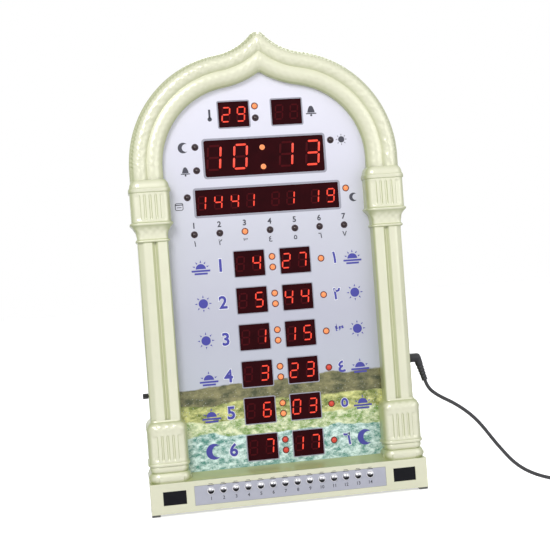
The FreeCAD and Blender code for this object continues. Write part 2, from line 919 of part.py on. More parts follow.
def lamps():
    """Round lamps with a bevelled dome each, standing on the main board."""
    made = []
    for name, spots in lamp_places().items():
        members = []
        for number, (x, z) in enumerate(spots, start=1):
            tip = dial_face - s.lamp_rise
            members.append(bevelled(f"{name}_{number}", "Y", x, tip, z, LAMP_SIDES,
                                    s.lamp_radius, board_face - tip, s.lamp_bevel))
        made.append(group(name, members))
    return made


def label_strip():
    """Thin printed strip in its recess, holed for the buttons."""
    strip = centred_box("strip_sheet", 0, front, s.strip_level, s.strip_width,
                        s.strip_thickness, s.strip_height)
    tools = []
    for number in range(int(s.buttons.value)):
        tools.append(prism(f"strip_hole_{number + 1}", "Y", button_x(number), front - 1,
                           s.button_level, BUTTON_SIDES,
                           s.button_radius + s.strip_hole_clearance, s.strip_thickness + 2))
    return cut("label_strip", strip, tools)


def sensor_windows():
    """Two dark windows let into the plinth's front."""
    return group("sensor_windows", [
        centred_box(f"sensor_window_{side + 2}", s.sensor_offset * side, front + 0.5,
                    s.strip_level, s.window_width, s.wall - 0.5, s.window_height)
        for side in (-1, 1)])


guide_back = front + s.wall
flange_front = guide_back + 0.1
flange_back = flange_front + s.flange_thickness
stem_end = flange_back + s.stem_length
plunger_front = stem_end + 0.1
switch_front = plunger_front + s.plunger_height
button_board_face = switch_front + s.switch_height


def push_button(number):
    """One push button: bevelled shank in its guide, flange and stem."""
    name = f"button_{number + 1:02d}"
    x = button_x(number)
    tip = front - s.button_rise
    shank = bevelled(name + "_shank", "Y", x, tip, s.button_level, BUTTON_SIDES,
                     s.button_radius, flange_front - tip, s.button_bevel)
    flange = centred_box(name + "_flange", x, flange_front, s.button_level, s.flange_side,
                         s.flange_thickness, s.flange_side)
    stem = centred_box(name + "_stem", x, flange_back, s.button_level, s.stem_side,
                       s.stem_length, s.stem_side)
    return fuse(name, [shank, flange, stem])


def tact_switches():
    """One small switch behind each button, with its plunger."""
    members = []
    for number in range(int(s.buttons.value)):
        x = button_x(number)
        body = centred_box(f"switch_body_{number + 1}", x, switch_front + s.button_travel,
                           s.button_level, s.switch_side, s.switch_height - s.button_travel,
                           s.switch_side)
        plunger = prism(f"switch_plunger_{number + 1}", "Y", x, plunger_front + s.button_travel,
                        s.button_level, LAMP_SIDES, s.plunger_radius, s.plunger_height)
        members.append(fuse(f"switch_{number + 1}", [body, plunger]))
    return group("tact_switches", members)


def boards():
    """Main board behind the displays and button board behind the plinth's front."""
    low = plinth_top + s.board_clearance
    shoulder = spring + 28
    wide = box("main_board_wide", -s.board_half_width, board_face, low,
               s.board_half_width * 2, s.board_thickness, shoulder - low)
    upper = box("main_board_upper", -s.board_top_half_width, board_face, shoulder,
                s.board_top_half_width * 2, s.board_thickness, s.board_top_height)
    main = fuse("main_board", [wide, upper])
    button = centred_box("button_board", 0, button_board_face, s.strip_level,
                         s.strip_width, s.board_thickness, s.button_board_height)
    return [main, button]


def ribbon_cable():
    """Flat cable from the button board up to the main board."""
    thickness = size_of(0.8)
    width = size_of(25)
    low = s.strip_level
    start_y = button_board_face + s.board_thickness
    lower = centred_box("ribbon_lower", 0, start_y, low, width, thickness, size_of(8))
    run = centred_box("ribbon_run", 0, start_y, low + 3.6, width,
                      board_back - start_y + thickness, thickness)
    upper = box("ribbon_upper", -width / 2, board_back, low + 3.2, width, thickness,
                plinth_top + 16 - low)
    return fuse("ribbon_cable", [lower, run, upper])


def speaker():
    """Speaker behind the grille: basket, cone and magnet."""
    rear = back - s.wall
    sides = 24
    ring = prism("basket_rim", "Y", 0, rear - s.basket_thickness, s.speaker_level, sides,
                 s.speaker_radius, s.basket_thickness)
    start = rear - s.speaker_depth
    slope = s.speaker_depth - s.basket_thickness * 2
    bowl = bevelled("basket_bowl", "Y", 0, start, s.speaker_level, sides,
                    s.speaker_radius - 2, s.speaker_depth, slope)
    room = bevelled("basket_room", "Y", 0, start + s.basket_thickness, s.speaker_level, sides,
                    s.speaker_radius - 2 - s.basket_thickness, s.speaker_depth, slope)
    basket = cut("speaker_basket", fuse("basket_solid", [ring, bowl]), [room])
    cone_start = start + s.basket_thickness + 0.3
    paper_radius = s.speaker_radius - 4 - s.basket_thickness
    outer = bevelled("paper_outer", "Y", 0, cone_start, s.speaker_level, sides,
                     paper_radius, size_of(4.4), size_of(4))
    inner = bevelled("paper_inner", "Y", 0, cone_start + 0.6, s.speaker_level, sides,
                     paper_radius - 0.4, size_of(4.4), size_of(4))
    paper_cone = cut("speaker_cone", outer, [inner])
    magnet = prism("speaker_magnet", "Y", 0, start - s.magnet_height, s.speaker_level, sides,
                   s.magnet_radius, s.magnet_height)
    return [basket, paper_cone, magnet]


def small_electronics():
    """Chips, coin cell and its holder, and the infrared receiver."""
    chips = []
    for number, (x, z) in enumerate(((-60, 120), (-30, 120), (30, 120), (60, 120), (0, 150),
                                     (0, 300)), start=1):
        chips.append(centred_box(f"chip_{number}", size_of(x), board_back, size_of(z),
                                 s.chip_length, s.chip_height, s.chip_width))
    holder_x = size_of(50)
    holder_z = size_of(180)
    rim = prism("holder_rim", "Y", holder_x, board_back, holder_z, 24, s.coin_radius + 1.5,
                s.coin_thickness + 1)
    seat = prism("holder_seat", "Y", holder_x, board_back + 1, holder_z, 24,
                 s.coin_radius + 0.2, s.coin_thickness + 1)
    holder = cut("coin_cell_holder", rim, [seat])
    coin = prism("coin_cell", "Y", holder_x, board_back + 1, holder_z, 24, s.coin_radius,
                 s.coin_thickness)
    window_back = front + s.wall
    eye = centred_box("infrared_receiver", -s.sensor_offset, window_back + 0.3, s.strip_level,
                      size_of(6), button_board_face - window_back, size_of(7))
    return [group("driver_chips", chips), holder, coin, eye]


def volume_control():
    """Potentiometer in the left column and the knob whose spindle plugs into it."""
    base = -column_outer - s.knob_gap
    skirt = prism("knob_skirt", "-X", base, s.knob_depth_place, s.knob_level, PLUG_SIDES,
                  s.knob_radius, s.knob_length)
    spindle = cylinder("knob_spindle", "X", base, s.knob_depth_place, s.knob_level,
                       s.spindle_radius, s.spindle_length)
    knob = fuse("volume_knob", [skirt, spindle])
    inner_side = -column_outer + s.wall
    body = box("pot_body", inner_side, s.knob_depth_place - s.pot_side / 2,
               s.knob_level - s.pot_side / 2, s.pot_depth + 2, s.pot_side, s.pot_side)
    bore = cylinder("pot_bore", "X", inner_side - 1, s.knob_depth_place, s.knob_level,
                    s.spindle_radius + s.spindle_clearance, s.pot_depth + 3)
    return [knob, cut("volume_potentiometer", body, [bore])]


def leg_end():
    """Middle of the plug's lower end, and the way the cord leaves it."""
    tilt = math.radians(s.leg_tilt.value)
    way = FreeCAD.Vector(math.sin(tilt), 0, -math.cos(tilt))
    top = FreeCAD.Vector((column_outer + s.plug_reach).value - s.leg_radius.value,
                         s.jack_depth_place.value, s.jack_level.value)
    return top + way * s.leg_length.value, way, top


def power_inlet():
    """Jack in the right column and the angled plug pushed into it."""
    bore_radius = s.barrel_radius + s.barrel_clearance
    mouth = column_outer - s.wall
    body = box("jack_body", mouth - s.jack_length, s.jack_depth_place - s.jack_width / 2,
               s.jack_level - s.jack_width / 2, s.jack_length, s.jack_width, s.jack_width)
    bore = cylinder("jack_bore", "X", mouth - s.barrel_length, s.jack_depth_place,
                    s.jack_level, bore_radius, s.barrel_length + 1)
    jack = cut("dc_jack", body, [bore])
    start_x = column_outer + 0.2
    head = prism("plug_head", "X", start_x, s.jack_depth_place, s.jack_level, PLUG_SIDES,
                 s.plug_radius, s.plug_reach - s.plug_radius * 0.4)
    barrel = prism("plug_barrel", "X", start_x - s.barrel_length, s.jack_depth_place,
                   s.jack_level, PLUG_SIDES, s.barrel_radius, s.barrel_length)
    end, way, top = leg_end()
    leg = doc.addObject("Part::Prism", "plug_leg")
    leg.Polygon = PLUG_SIDES
    bind(leg, Circumradius=s.leg_radius, Height=s.leg_length)
    leg.Placement = FreeCAD.Placement(top, FreeCAD.Rotation(FreeCAD.Vector(0, 0, 1), way))
    plug = fuse("dc_plug", [head, barrel, leg])
    return [jack, plug]


# Route of the cord from the plug's end down to the floor and out to the coil
CORD_MIDDLE = [
    (156.1, 2.3, 86.0),
    (173.0, -3.0, 76.5),
    (191.0, -8.5, 61.0),
    (209.0, -14.5, 33.0),
    (225.5, -23.0, 11.5),
    (247.0, -40.0, 1.85),
    (270.0, -58.0, 1.85),
    (292.0, -72.0, 1.85),
]


def coil_centre():
    """Middle of the coil's first half turn, on the floor outside the picture."""
    return FreeCAD.Vector(318.0, -49.0, s.cord_diameter.value / 2 + 0.1)


def section_face(point, way, radius, sides):
    """Wire of a regular polygon round a point, square to the way the cord runs."""
    up = FreeCAD.Vector(0, 0, 1)
    across = way.cross(up).normalize()
    above = across.cross(way).normalize()
    corners = []
    for number in range(sides):
        turn = 2 * math.pi * (number + 0.5) / sides
        corners.append(point + across * (radius * math.cos(turn))
                       + above * (radius * math.sin(turn)))
    return Part.makePolygon(corners + corners[:1])


def tube(edges, diameter, sides):
    """A faceted tube along tangent edges, as wide between corners as the cord."""
    path = Part.Wire(edges)
    first = path.Edges[0]
    start = first.valueAt(first.FirstParameter)
    way = first.tangentAt(first.FirstParameter)
    section = section_face(start, way, diameter / 2, sides)
    return path.makePipeShell([section], True, False)


def rounded_route(points, label):
    """Straight runs joined by tangent arcs, as large as the runs allow."""
    edges = []
    here = points[0]
    radii = []
    for before, corner, after in zip(points, points[1:], points[2:]):
        first = corner - before
        second = after - corner
        turn = first.getAngle(second)
        reach = 0.45 * min(first.Length, second.Length)
        radius = reach / math.tan(turn / 2)
        radii.append(round(radius, 1))
        arc_start = corner - first.normalize() * reach
        arc_end = corner + second.normalize() * reach
        bisector = (second - first).normalize()
        centre = corner + bisector * math.hypot(radius, reach)
        middle = centre - bisector * radius
        edges.append(Part.LineSegment(here, arc_start).toShape())
        edges.append(Part.Arc(arc_start, middle, arc_end).toShape())
        here = arc_end
    edges.append(Part.LineSegment(here, points[-1]).toShape())
    print(label, "radii", radii)
    return edges


def half_turn(centre, radius, angle, level):
    """Flat half turn from an angle in degrees, anticlockwise seen from above."""
    spots = []
    for part in (0, 90, 180):
        turn = math.radians(angle + part)
        spots.append(FreeCAD.Vector(centre.x + radius * math.cos(turn),
                                    centre.y + radius * math.sin(turn), level))
    return Part.Arc(*spots).toShape(), spots[2]


def climbing_half_turn(centre, radius, angle, level, rise):
    """Half turn that climbs a layer, as two arcs that meet on a common tangent."""
    middle_radius = math.sqrt(radius * radius + rise * rise / 4)
    spots = []
    for part, reach, height in ((0, radius, 0), (90, middle_radius, rise / 2), (180, radius, rise)):
        turn = math.radians(angle + part)
        spots.append(FreeCAD.Vector(centre.x + reach * math.cos(turn),
                                    centre.y + reach * math.sin(turn), level + height))
    ways = []
    for part in (90, 270):
        turn = math.radians(angle + part)
        ways.append(FreeCAD.Vector(math.cos(turn), math.sin(turn), 0))
    arcs = []
    for start, end, way, backwards in ((spots[0], spots[1], ways[0], False),
                                       (spots[2], spots[1], -ways[1], True)):
        chord = end - start
        normal = chord - way * chord.dot(way)
        normal.normalize()
        arc_radius = chord.dot(chord) / (2 * chord.dot(normal))
        arc_centre = start + normal * arc_radius
        between = ((start - arc_centre) + (end - arc_centre)).normalize()
        between = arc_centre + between * arc_radius
        if backwards:
            arcs.append(Part.Arc(end, between, start).toShape())
        else:
            arcs.append(Part.Arc(start, between, end).toShape())
    return arcs, spots[2]


def coil_edges():
    """Edges of the coil: spiral in, climb a layer in a half turn, spiral out."""
    diameter = s.cord_diameter.value
    step = s.coil_pitch.value / 2
    rise = s.coil_pitch.value
    count = int(s.coil_half_turns.value)
    centre = coil_centre()
    level = centre.z
    angle = -90.0
    radius = s.coil_first_radius.value
    start = FreeCAD.Vector(centre.x, centre.y - radius, level)
    lead = FreeCAD.Vector(start.x - diameter, start.y, level)
    edges = [Part.LineSegment(lead, start).toShape()]
    here = start
    radii = [radius - step * number for number in range(count)]
    radii = radii + [radius - step * count] + radii[::-1] + [radius + step]
    for number, turn_radius in enumerate(radii):
        turn = math.radians(angle)
        middle = FreeCAD.Vector(here.x - turn_radius * math.cos(turn),
                                here.y - turn_radius * math.sin(turn), 0)
        if number == count:
            arcs, here = climbing_half_turn(middle, turn_radius, angle, level, rise)
            edges.extend(arcs)
            level = level + rise
        else:
            arc, here = half_turn(middle, turn_radius, angle, level)
            edges.append(arc)
        angle = angle + 180.0
    turn = math.radians(angle + 90.0)
    way = FreeCAD.Vector(math.cos(turn), math.sin(turn), 0)
    end = here + way * s.coil_tail.value
    edges.append(Part.LineSegment(here, end).toShape())
    return edges, lead, end, way


def least_gap(edges, diameter):
    """Least gap between stretches of a coil that are more than a quarter turn apart."""
    spots = []
    run = 0.0
    for edge in edges:
        for number in range(24):
            share = edge.FirstParameter + (edge.LastParameter - edge.FirstParameter) * number / 24
            spots.append((run + edge.Length * number / 24, edge.valueAt(share)))
        run = run + edge.Length
    apart = 8 * diameter
    return min((a[1] - b[1]).Length for a in spots for b in spots if b[0] - a[0] > apart) - diameter


def cord_part(name, edges):
    """A stretch of cord as a solid of its own, with its volume compared."""
    shape = tube(edges, s.cord_diameter.value, int(s.cord_sides.value))
    item = doc.addObject("Part::Feature", name)
    item.Shape = shape
    sides = int(s.cord_sides.value)
    section = 0.5 * sides * (s.cord_diameter.value / 2) ** 2 * math.sin(2 * math.pi / sides)
    length = sum(edge.Length for edge in edges)
    print(f"{name}: {length:.0f} mm long, volume {shape.Volume:.0f}, expected {section * length:.0f}")
    return item


def supply():
    """Cord from the plug to the floor, its coil, and the mains adapter with two pins."""
    end, way, top = leg_end()
    coil, coil_start, coil_end, _ = coil_edges()
    second = end + way * 8.0
    points = [end, second] + [FreeCAD.Vector(*spot) for spot in CORD_MIDDLE]
    points.append(coil_start)
    cord = cord_part("power_cord", rounded_route(points, "power_cord"))
    wound = cord_part("cord_coil", coil)
    print(f"cord_coil: least gap to itself {least_gap(coil, s.cord_diameter.value):.2f} mm")
    collar = size_of(8)
    body_x = coil_end.x + collar.value
    side_y = coil_end.y - s.collar_inset
    body = box("adapter_body", body_x, side_y, 0, s.adapter_length, s.adapter_width,
               s.adapter_height)
    neck = prism("adapter_collar", "X", coil_end.x, coil_end.y, coil_end.z, PLUG_SIDES,
                 size_of(3.4), collar)
    adapter = fuse("power_adapter", [body, neck])
    pins = []
    for side in (-1, 1):
        pins.append(cylinder(f"pin_{side + 2}", "Z", body_x + s.adapter_length - s.pin_inset,
                             side_y + (s.adapter_width + s.pin_spacing * side) / 2,
                             s.adapter_height, s.pin_radius, s.pin_length))
    return [cord, wound, adapter, group("adapter_pins", pins)]


def feet():
    """Four rubber pads under the plinth's corners."""
    length = size_of(8)
    depth = size_of(10)
    members = []
    for side in (-1, 1):
        for number, y in enumerate((front + 1, parting - 1 - depth)):
            members.append(centred_box(f"foot_{side + 2}_{number}",
                                       (plinth_half - length / 2) * side, y,
                                       s.foot_height / 2, length, depth, s.foot_height))
    return group("foot_pads", members)


def screws():
    """Case screws through the back cover into the frame's bosses."""
    members = []
    for number, (x, z, _) in enumerate(screw_places(), start=1):
        head_face = back - s.screw_head_height
        head = prism(f"head_{number}", "Y", x, head_face, z, HOLE_SIDES,
                     s.screw_head_radius, s.screw_head_height)
        shank = prism(f"shank_{number}", "Y", x, head_face - s.screw_length, z,
                      HOLE_SIDES, s.screw_radius, s.screw_length)
        members.append(fuse(f"screw_{number}", [head, shank]))
    return group("screws", members)


def build():
    """Make every sub-part and return them in order."""
    parts = [front_frame(), back_cover(), dial_panel(), label_strip(), sensor_windows()]
    parts += displays() + lamps() + boards()
    parts += [push_button(number) for number in range(int(s.buttons.value))]
    parts += [tact_switches(), ribbon_cable()]
    parts += speaker() + small_electronics() + volume_control() + power_inlet() + supply()
    parts += [feet(), screws()]
    return parts


nodes = build()
doc.recompute()
for item in doc.Objects:
    if "Invalid" in item.State or "Error" in item.State:
        raise RuntimeError(f"{item.Label} is in state {item.State}")
os.makedirs("parts", exist_ok=True)
for node in nodes:
    shape = node.Shape
    if shape.isNull() or not shape.isValid():
        raise RuntimeError(f"{node.Label} has no valid shape")
    shape.exportStep(f"parts/{node.Label}.step")
print(len(nodes), "nodes")
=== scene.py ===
"""Looks of a digital azan clock: arched pearl case, printed dial, lit displays and its cord."""

import enum
import logging
import math
from dataclasses import dataclass, field
from typing import Optional, Sequence

import bmesh
import bpy
import numpy as np
from mathutils import Matrix, Vector


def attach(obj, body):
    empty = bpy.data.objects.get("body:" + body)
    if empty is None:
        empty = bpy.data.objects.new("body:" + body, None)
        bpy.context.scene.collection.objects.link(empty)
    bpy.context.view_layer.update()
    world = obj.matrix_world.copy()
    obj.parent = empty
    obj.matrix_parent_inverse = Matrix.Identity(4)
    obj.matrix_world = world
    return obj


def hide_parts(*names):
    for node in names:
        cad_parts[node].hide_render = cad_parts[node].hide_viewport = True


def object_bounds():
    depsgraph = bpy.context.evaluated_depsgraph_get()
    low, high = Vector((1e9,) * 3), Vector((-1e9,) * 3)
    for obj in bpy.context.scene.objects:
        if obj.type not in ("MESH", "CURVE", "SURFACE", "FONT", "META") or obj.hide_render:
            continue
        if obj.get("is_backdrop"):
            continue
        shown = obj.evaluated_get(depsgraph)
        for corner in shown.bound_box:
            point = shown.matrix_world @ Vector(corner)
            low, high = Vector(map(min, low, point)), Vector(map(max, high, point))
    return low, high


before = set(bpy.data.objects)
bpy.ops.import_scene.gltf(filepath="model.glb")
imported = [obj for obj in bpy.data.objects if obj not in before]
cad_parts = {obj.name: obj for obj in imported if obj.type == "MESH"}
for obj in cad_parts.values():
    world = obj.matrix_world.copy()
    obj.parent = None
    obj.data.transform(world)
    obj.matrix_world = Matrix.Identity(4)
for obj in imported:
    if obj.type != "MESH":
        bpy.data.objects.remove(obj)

# In metres: a millimetre, and how near two points lie to be merged
MM = 0.001
MERGE_REACH = 1e-6

# In millimetres: faces, edges and levels of the CAD pieces, and what stands on them
FRONT = -21.4
PARTING = 15.1
DIAL_FACE = -1.4
SHAFT_FACE = -14.9
HALF_OPENING = 98.8
COLUMN_OUTER = 127.6
ARCH_OUTER = 130.4
PLINTH_TOP = 30.5
BASE_TOP = 89.0
CAPITAL_FOOT = 256.0
CAPITAL_TOP = 315.0
SPRING = 326.0
ARCH_X = 24.4
OGEE_X = 50.368
OGEE_Z = 489.956
ROW_LEVELS = [230.0 - 35.5 * row for row in range(6)]
ROW_BLOCKS = (-22.4, 22.4)
DATE_LEVEL = 374.0
DATE_BLOCKS = (-27.2, 24.5)
DAY_PLACES = [24.4 * (day - 3) for day in range(7)]
BUTTON_PLACES = [11.8 * (number - 6.5) for number in range(14)]

# In millimetres: the gap between a skin and the face beside it, and a closing radius
HAIR = 0.05
POINT = 0.001

log = logging.getLogger("azan_clock")


class Mark(enum.Enum):
    """Plain signs printed beside the lamps and the rows."""

    SUN = "sun"
    RISING = "rising"
    LOW_SUN = "low sun"
    CRESCENT = "crescent"
    BELL = "bell"
    PAGE = "page"
    BULB = "bulb"


# Finishes

Shade = tuple[float, float, float]


def node_link(tree: bpy.types.NodeTree, source: bpy.types.NodeSocket,
              target: bpy.types.NodeSocket) -> None:
    """Join two sockets."""
    tree.links.new(source, target)


def add_node(tree: bpy.types.NodeTree, kind: str, inputs: Optional[dict] = None,
             **settings: object) -> bpy.types.Node:
    """Add a node with its settings and the values of its sockets.

    Args:
        tree: the nodes that it joins.
        kind: its type without the leading ShaderNode.
        inputs: socket name or number, and its value; a socket as value is linked.
        settings: the node's own settings.

    Returns:
        The node.
    """
    made = tree.nodes.new("ShaderNode" + kind)
    for name, value in settings.items():
        setattr(made, name, value)
    for name, value in (inputs or {}).items():
        if isinstance(value, bpy.types.NodeSocket):
            node_link(tree, value, made.inputs[name])
        else:
            made.inputs[name].default_value = value
    return made


def mixed(tree: bpy.types.NodeTree, factor: bpy.types.NodeSocket, first: object,
          second: object) -> bpy.types.NodeSocket:
    """Mix two colours, each a shade or a socket, by a factor of 0 to 1."""
    made = add_node(tree, "Mix", data_type="RGBA")
    node_link(tree, factor, made.inputs["Factor"])
    for name, value in (("A", first), ("B", second)):
        if isinstance(value, bpy.types.NodeSocket):
            node_link(tree, value, made.inputs[name])
        else:
            made.inputs[name].default_value = (*value, 1.0)
    return made.outputs["Result"]


def build_mottle_group() -> bpy.types.ShaderNodeTree:
    """Shared effect of every finish: soft mottling and a fine bump in Object coordinates.

    Returns:
        A node group with inputs Colour, Dark, Scale, Fine, Bump and outputs Colour, Normal.
        The colour runs between Dark and Colour by a broad noise, and the normal is tilted
        by a fine one.
    """
    group = bpy.data.node_groups.new("soft_mottle", "ShaderNodeTree")
    for name, kind in (("Colour", "Color"), ("Dark", "Color"), ("Scale", "Float"),
                       ("Fine", "Float"), ("Bump", "Float")):
        group.interface.new_socket(name, in_out="INPUT", socket_type="NodeSocket" + kind)
    group.interface.new_socket("Colour", in_out="OUTPUT", socket_type="NodeSocketColor")
    group.interface.new_socket("Normal", in_out="OUTPUT", socket_type="NodeSocketVector")
    entry = group.nodes.new("NodeGroupInput")
    leave = group.nodes.new("NodeGroupOutput")
    spot = add_node(group, "TexCoord").outputs["Object"]
    broad = add_node(group, "TexNoise", {"Vector": spot, "Scale": entry.outputs["Scale"],
                                         "Detail": 4.0})
    fine = add_node(group, "TexNoise", {"Vector": spot, "Scale": entry.outputs["Fine"],
                                        "Detail": 2.0})
    bump = add_node(group, "Bump", {"Height": fine.outputs["Fac"], "Distance": 0.0002,
                                    "Strength": entry.outputs["Bump"]})
    colour = mixed(group, broad.outputs["Fac"], entry.outputs["Dark"], entry.outputs["Colour"])
    node_link(group, colour, leave.inputs["Colour"])
    node_link(group, bump.outputs["Normal"], leave.inputs["Normal"])
    return group


def mottle(tree: bpy.types.NodeTree, colour: Shade, dark: Shade, scale: float, fine: float,
           bump: float) -> bpy.types.Node:
    """Place the shared mottling group in a material with its own values."""
    made = add_node(tree, "Group")
    made.node_tree = bpy.data.node_groups.get("soft_mottle") or build_mottle_group()
    for name, value in (("Colour", (*colour, 1.0)), ("Dark", (*dark, 1.0)), ("Scale", scale),
                        ("Fine", fine), ("Bump", bump)):
        made.inputs[name].default_value = value
    return made


@dataclass(frozen=True)
class Surface:
    """What every finish shares: a name, and one material that is made when first asked for."""

    name: str

    def material(self) -> bpy.types.Material:
        """Return the material, made and painted the first time."""
        made = bpy.data.materials.get(self.name)
        if made is None:
            made = bpy.data.materials.new(self.name)
            made.use_nodes = True
            self.paint(made.node_tree, made.node_tree.nodes["Principled BSDF"].inputs)
        return made

    def paint(self, tree: bpy.types.NodeTree, sockets: bpy.types.NodeInputs) -> None:
        """Fill the material's nodes; each finish has its own way."""
        raise NotImplementedError


@dataclass(frozen=True)
class Finish(Surface):
    """A surface finish: two shades that mottle into each other, gloss, a fine bump and an optional
    painted glow.
    """

    colour: Shade
    dark: Shade
    roughness: float = 0.4
    metallic: float = 0.0
    coat: float = 0.0
    scale: float = 60.0
    fine: float = 900.0
    bump: float = 0.15
    # strength of a painted glow, light given off by a surface that is no lamp; 0 for none
    painted_glow: float = 0.0
    specular: float = 0.5

    def paint(self, tree: bpy.types.NodeTree, sockets: bpy.types.NodeInputs) -> None:
        """Put the mottling group in front of the shader, and where a painted glow is set, make the
        surface give off its own colour though it is no lamp.
        """
        group = mottle(tree, self.colour, self.dark, self.scale, self.fine, self.bump)
        sockets["Roughness"].default_value = self.roughness
        sockets["Metallic"].default_value = self.metallic
        sockets["Coat Weight"].default_value = self.coat
        sockets["Coat Roughness"].default_value = 0.08
        sockets["Specular IOR Level"].default_value = self.specular
        node_link(tree, group.outputs["Colour"], sockets["Base Color"])
        node_link(tree, group.outputs["Normal"], sockets["Normal"])
        # painted glow: emission of the finish's own colour
        if self.painted_glow > 0:
            node_link(tree, group.outputs["Colour"], sockets["Emission Color"])
            sockets["Emission Strength"].default_value = self.painted_glow


COVER = Finish("cover_plastic", (0.70, 0.70, 0.53), (0.60, 0.61, 0.44), 0.55, 0.0, 0.0,
               40.0, 700.0, 0.35)
STRIP = Finish("silver_lavender", (0.52, 0.53, 0.61), (0.44, 0.45, 0.53), 0.34, 0.3, 0.2,
               120.0, 1800.0, 0.08)
WINDOW = Finish("tinted_window", (0.010, 0.010, 0.014), (0.004, 0.004, 0.006), 0.30, 0.0, 0.0,
                80.0, 600.0, 0.02, specular=0.15)
# The display filter's painted glow stands for the red halo of light round the lit figures.
SCREEN = Finish("display_filter", (0.016, 0.001, 0.002), (0.006, 0.0005, 0.001), 0.35, 0.0, 0.0,
                70.0, 900.0, 0.02, painted_glow=1.3, specular=0.05)
# The unlit bars carry a faint painted glow of their own dark red.
SEGMENT_OFF = Finish("segment_unlit", (0.046, 0.003, 0.005), (0.030, 0.002, 0.003), 0.4, 0.0,
                     0.0, 300.0, 2000.0, 0.05, painted_glow=0.75, specular=0.05)
LAMP_OFF = Finish("lamp_unlit", (0.030, 0.008, 0.010), (0.014, 0.005, 0.007), 0.18, 0.0, 0.3,
                  400.0, 2500.0, 0.03, specular=0.4)
BOARD = Finish("board_green", (0.030, 0.130, 0.045), (0.018, 0.085, 0.030), 0.42, 0.0, 0.2,
               90.0, 1200.0, 0.2)
BLACK = Finish("moulded_black", (0.022, 0.022, 0.026), (0.012, 0.012, 0.015), 0.45, 0.0, 0.0,
               90.0, 1500.0, 0.3)
CABLE_GREY = Finish("cable_grey", (0.34, 0.34, 0.36), (0.26, 0.26, 0.28), 0.5)
STEEL = Finish("plain_steel", (0.56, 0.57, 0.59), (0.42, 0.43, 0.45), 0.3, 1.0, 0.0, 150.0,
               1800.0, 0.1)
FERRITE = Finish("ferrite_grey", (0.045, 0.045, 0.05), (0.03, 0.03, 0.034), 0.6)
PULP = Finish("pulp_cone", (0.02, 0.02, 0.02), (0.01, 0.01, 0.01), 0.85, bump=0.5)
BRASS = Finish("nickel_brass", (0.66, 0.60, 0.46), (0.55, 0.48, 0.34), 0.25, 1.0)
RUBBER = Finish("foot_rubber", (0.52, 0.52, 0.47), (0.44, 0.44, 0.39), 0.8, bump=0.4)
CORD = Finish("cord_jacket", (0.018, 0.018, 0.022), (0.011, 0.011, 0.014), 0.42, 0.0, 0.1,
              200.0, 2500.0, 0.15)
INK_BLUE = Finish("printed_blue", (0.055, 0.055, 0.38), (0.045, 0.045, 0.30), 0.4, 0.0, 0.2)
INK_DARK = Finish("printed_dark", (0.05, 0.05, 0.075), (0.035, 0.035, 0.05), 0.4, 0.0, 0.2)
INK_PALE = Finish("printed_pale", (0.86, 0.87, 0.90), (0.80, 0.81, 0.86), 0.4, 0.0, 0.2)
INK_GREY = Finish("printed_grey", (0.36, 0.36, 0.43), (0.28, 0.28, 0.34), 0.4, 0.0, 0.2)
RIM_DARK = Finish("hole_rim", (0.045, 0.020, 0.028), (0.024, 0.010, 0.016), 0.4, 0.0, 0.2)
RIM_WHITE = Finish("cap_ring", (0.86, 0.86, 0.90), (0.76, 0.76, 0.82), 0.3, 0.0, 0.2)


@dataclass(frozen=True)
class PearlLacquer(Surface):
    """Champagne lacquer with painted shade: pale on what faces forward, and a painted olive shade,
    standing for shading and reflections, where it turns away.
    """

    name: str = "champagne_pearl"
    pale: Shade = (0.79, 0.79, 0.60)
    # painted shade: the olive laid on surfaces that turn away from the front
    painted_shade: Shade = (0.43, 0.47, 0.23)

    def paint(self, tree: bpy.types.NodeTree, sockets: bpy.types.NodeInputs) -> None:
        """Mix in the painted olive shade by how far the object's own normal points forward (-Y)."""
        place = add_node(tree, "TexCoord")
        parts = add_node(tree, "SeparateXYZ", {"Vector": place.outputs["Normal"]})
        forward = add_node(tree, "MapRange", {"Value": parts.outputs["Y"], "From Min": -0.42,
                                              "From Max": -1.0},
                           interpolation_type="SMOOTHSTEP")
        shaded = tuple(0.9 * value for value in self.pale)
        group = mottle(tree, self.pale, shaded, 40.0, 1500.0, 0.10)
        colour = mixed(tree, forward.outputs["Result"], self.painted_shade, group.outputs["Colour"])
        node_link(tree, colour, sockets["Base Color"])
        node_link(tree, group.outputs["Normal"], sockets["Normal"])
        sockets["Roughness"].default_value = 0.30
        sockets["Metallic"].default_value = 0.10
        sockets["Coat Weight"].default_value = 0.5
        sockets["Coat Roughness"].default_value = 0.10


PEARL = PearlLacquer()


@dataclass(frozen=True)
class CapChrome(Surface):
    """Polished caps: bright above their middle, with a painted reflection below it, near black for
    the dark they would mirror.
    """

    name: str = "button_chrome"
    bright: Shade = (0.80, 0.80, 0.84)
    # painted reflection: the near black laid on the caps' lower half
    dark: Shade = (0.030, 0.030, 0.036)
    level: float = 0.0199

    def paint(self, tree: bpy.types.NodeTree, sockets: bpy.types.NodeInputs) -> None:
        """Paint the reflection: turn from dark to bright over height, the edge wavered by noise."""
        spot = add_node(tree, "TexCoord").outputs["Object"]
        parts = add_node(tree, "SeparateXYZ", {"Vector": spot})
        noise = add_node(tree, "TexNoise", {"Vector": spot, "Scale": 420.0})
        waver = add_node(tree, "Math", {0: noise.outputs["Fac"], 1: 0.0022,
                                        2: parts.outputs["Z"]}, operation="MULTIPLY_ADD")
        height = add_node(tree, "MapRange", {"Value": waver.outputs["Value"],
                                             "From Min": self.level + 0.0006,
                                             "From Max": self.level + 0.0028})
        colour = mixed(tree, height.outputs["Result"], self.dark, self.bright)
        node_link(tree, colour, sockets["Base Color"])
        sockets["Metallic"].default_value = 1.0
        sockets["Roughness"].default_value = 0.14


CHROME = CapChrome()


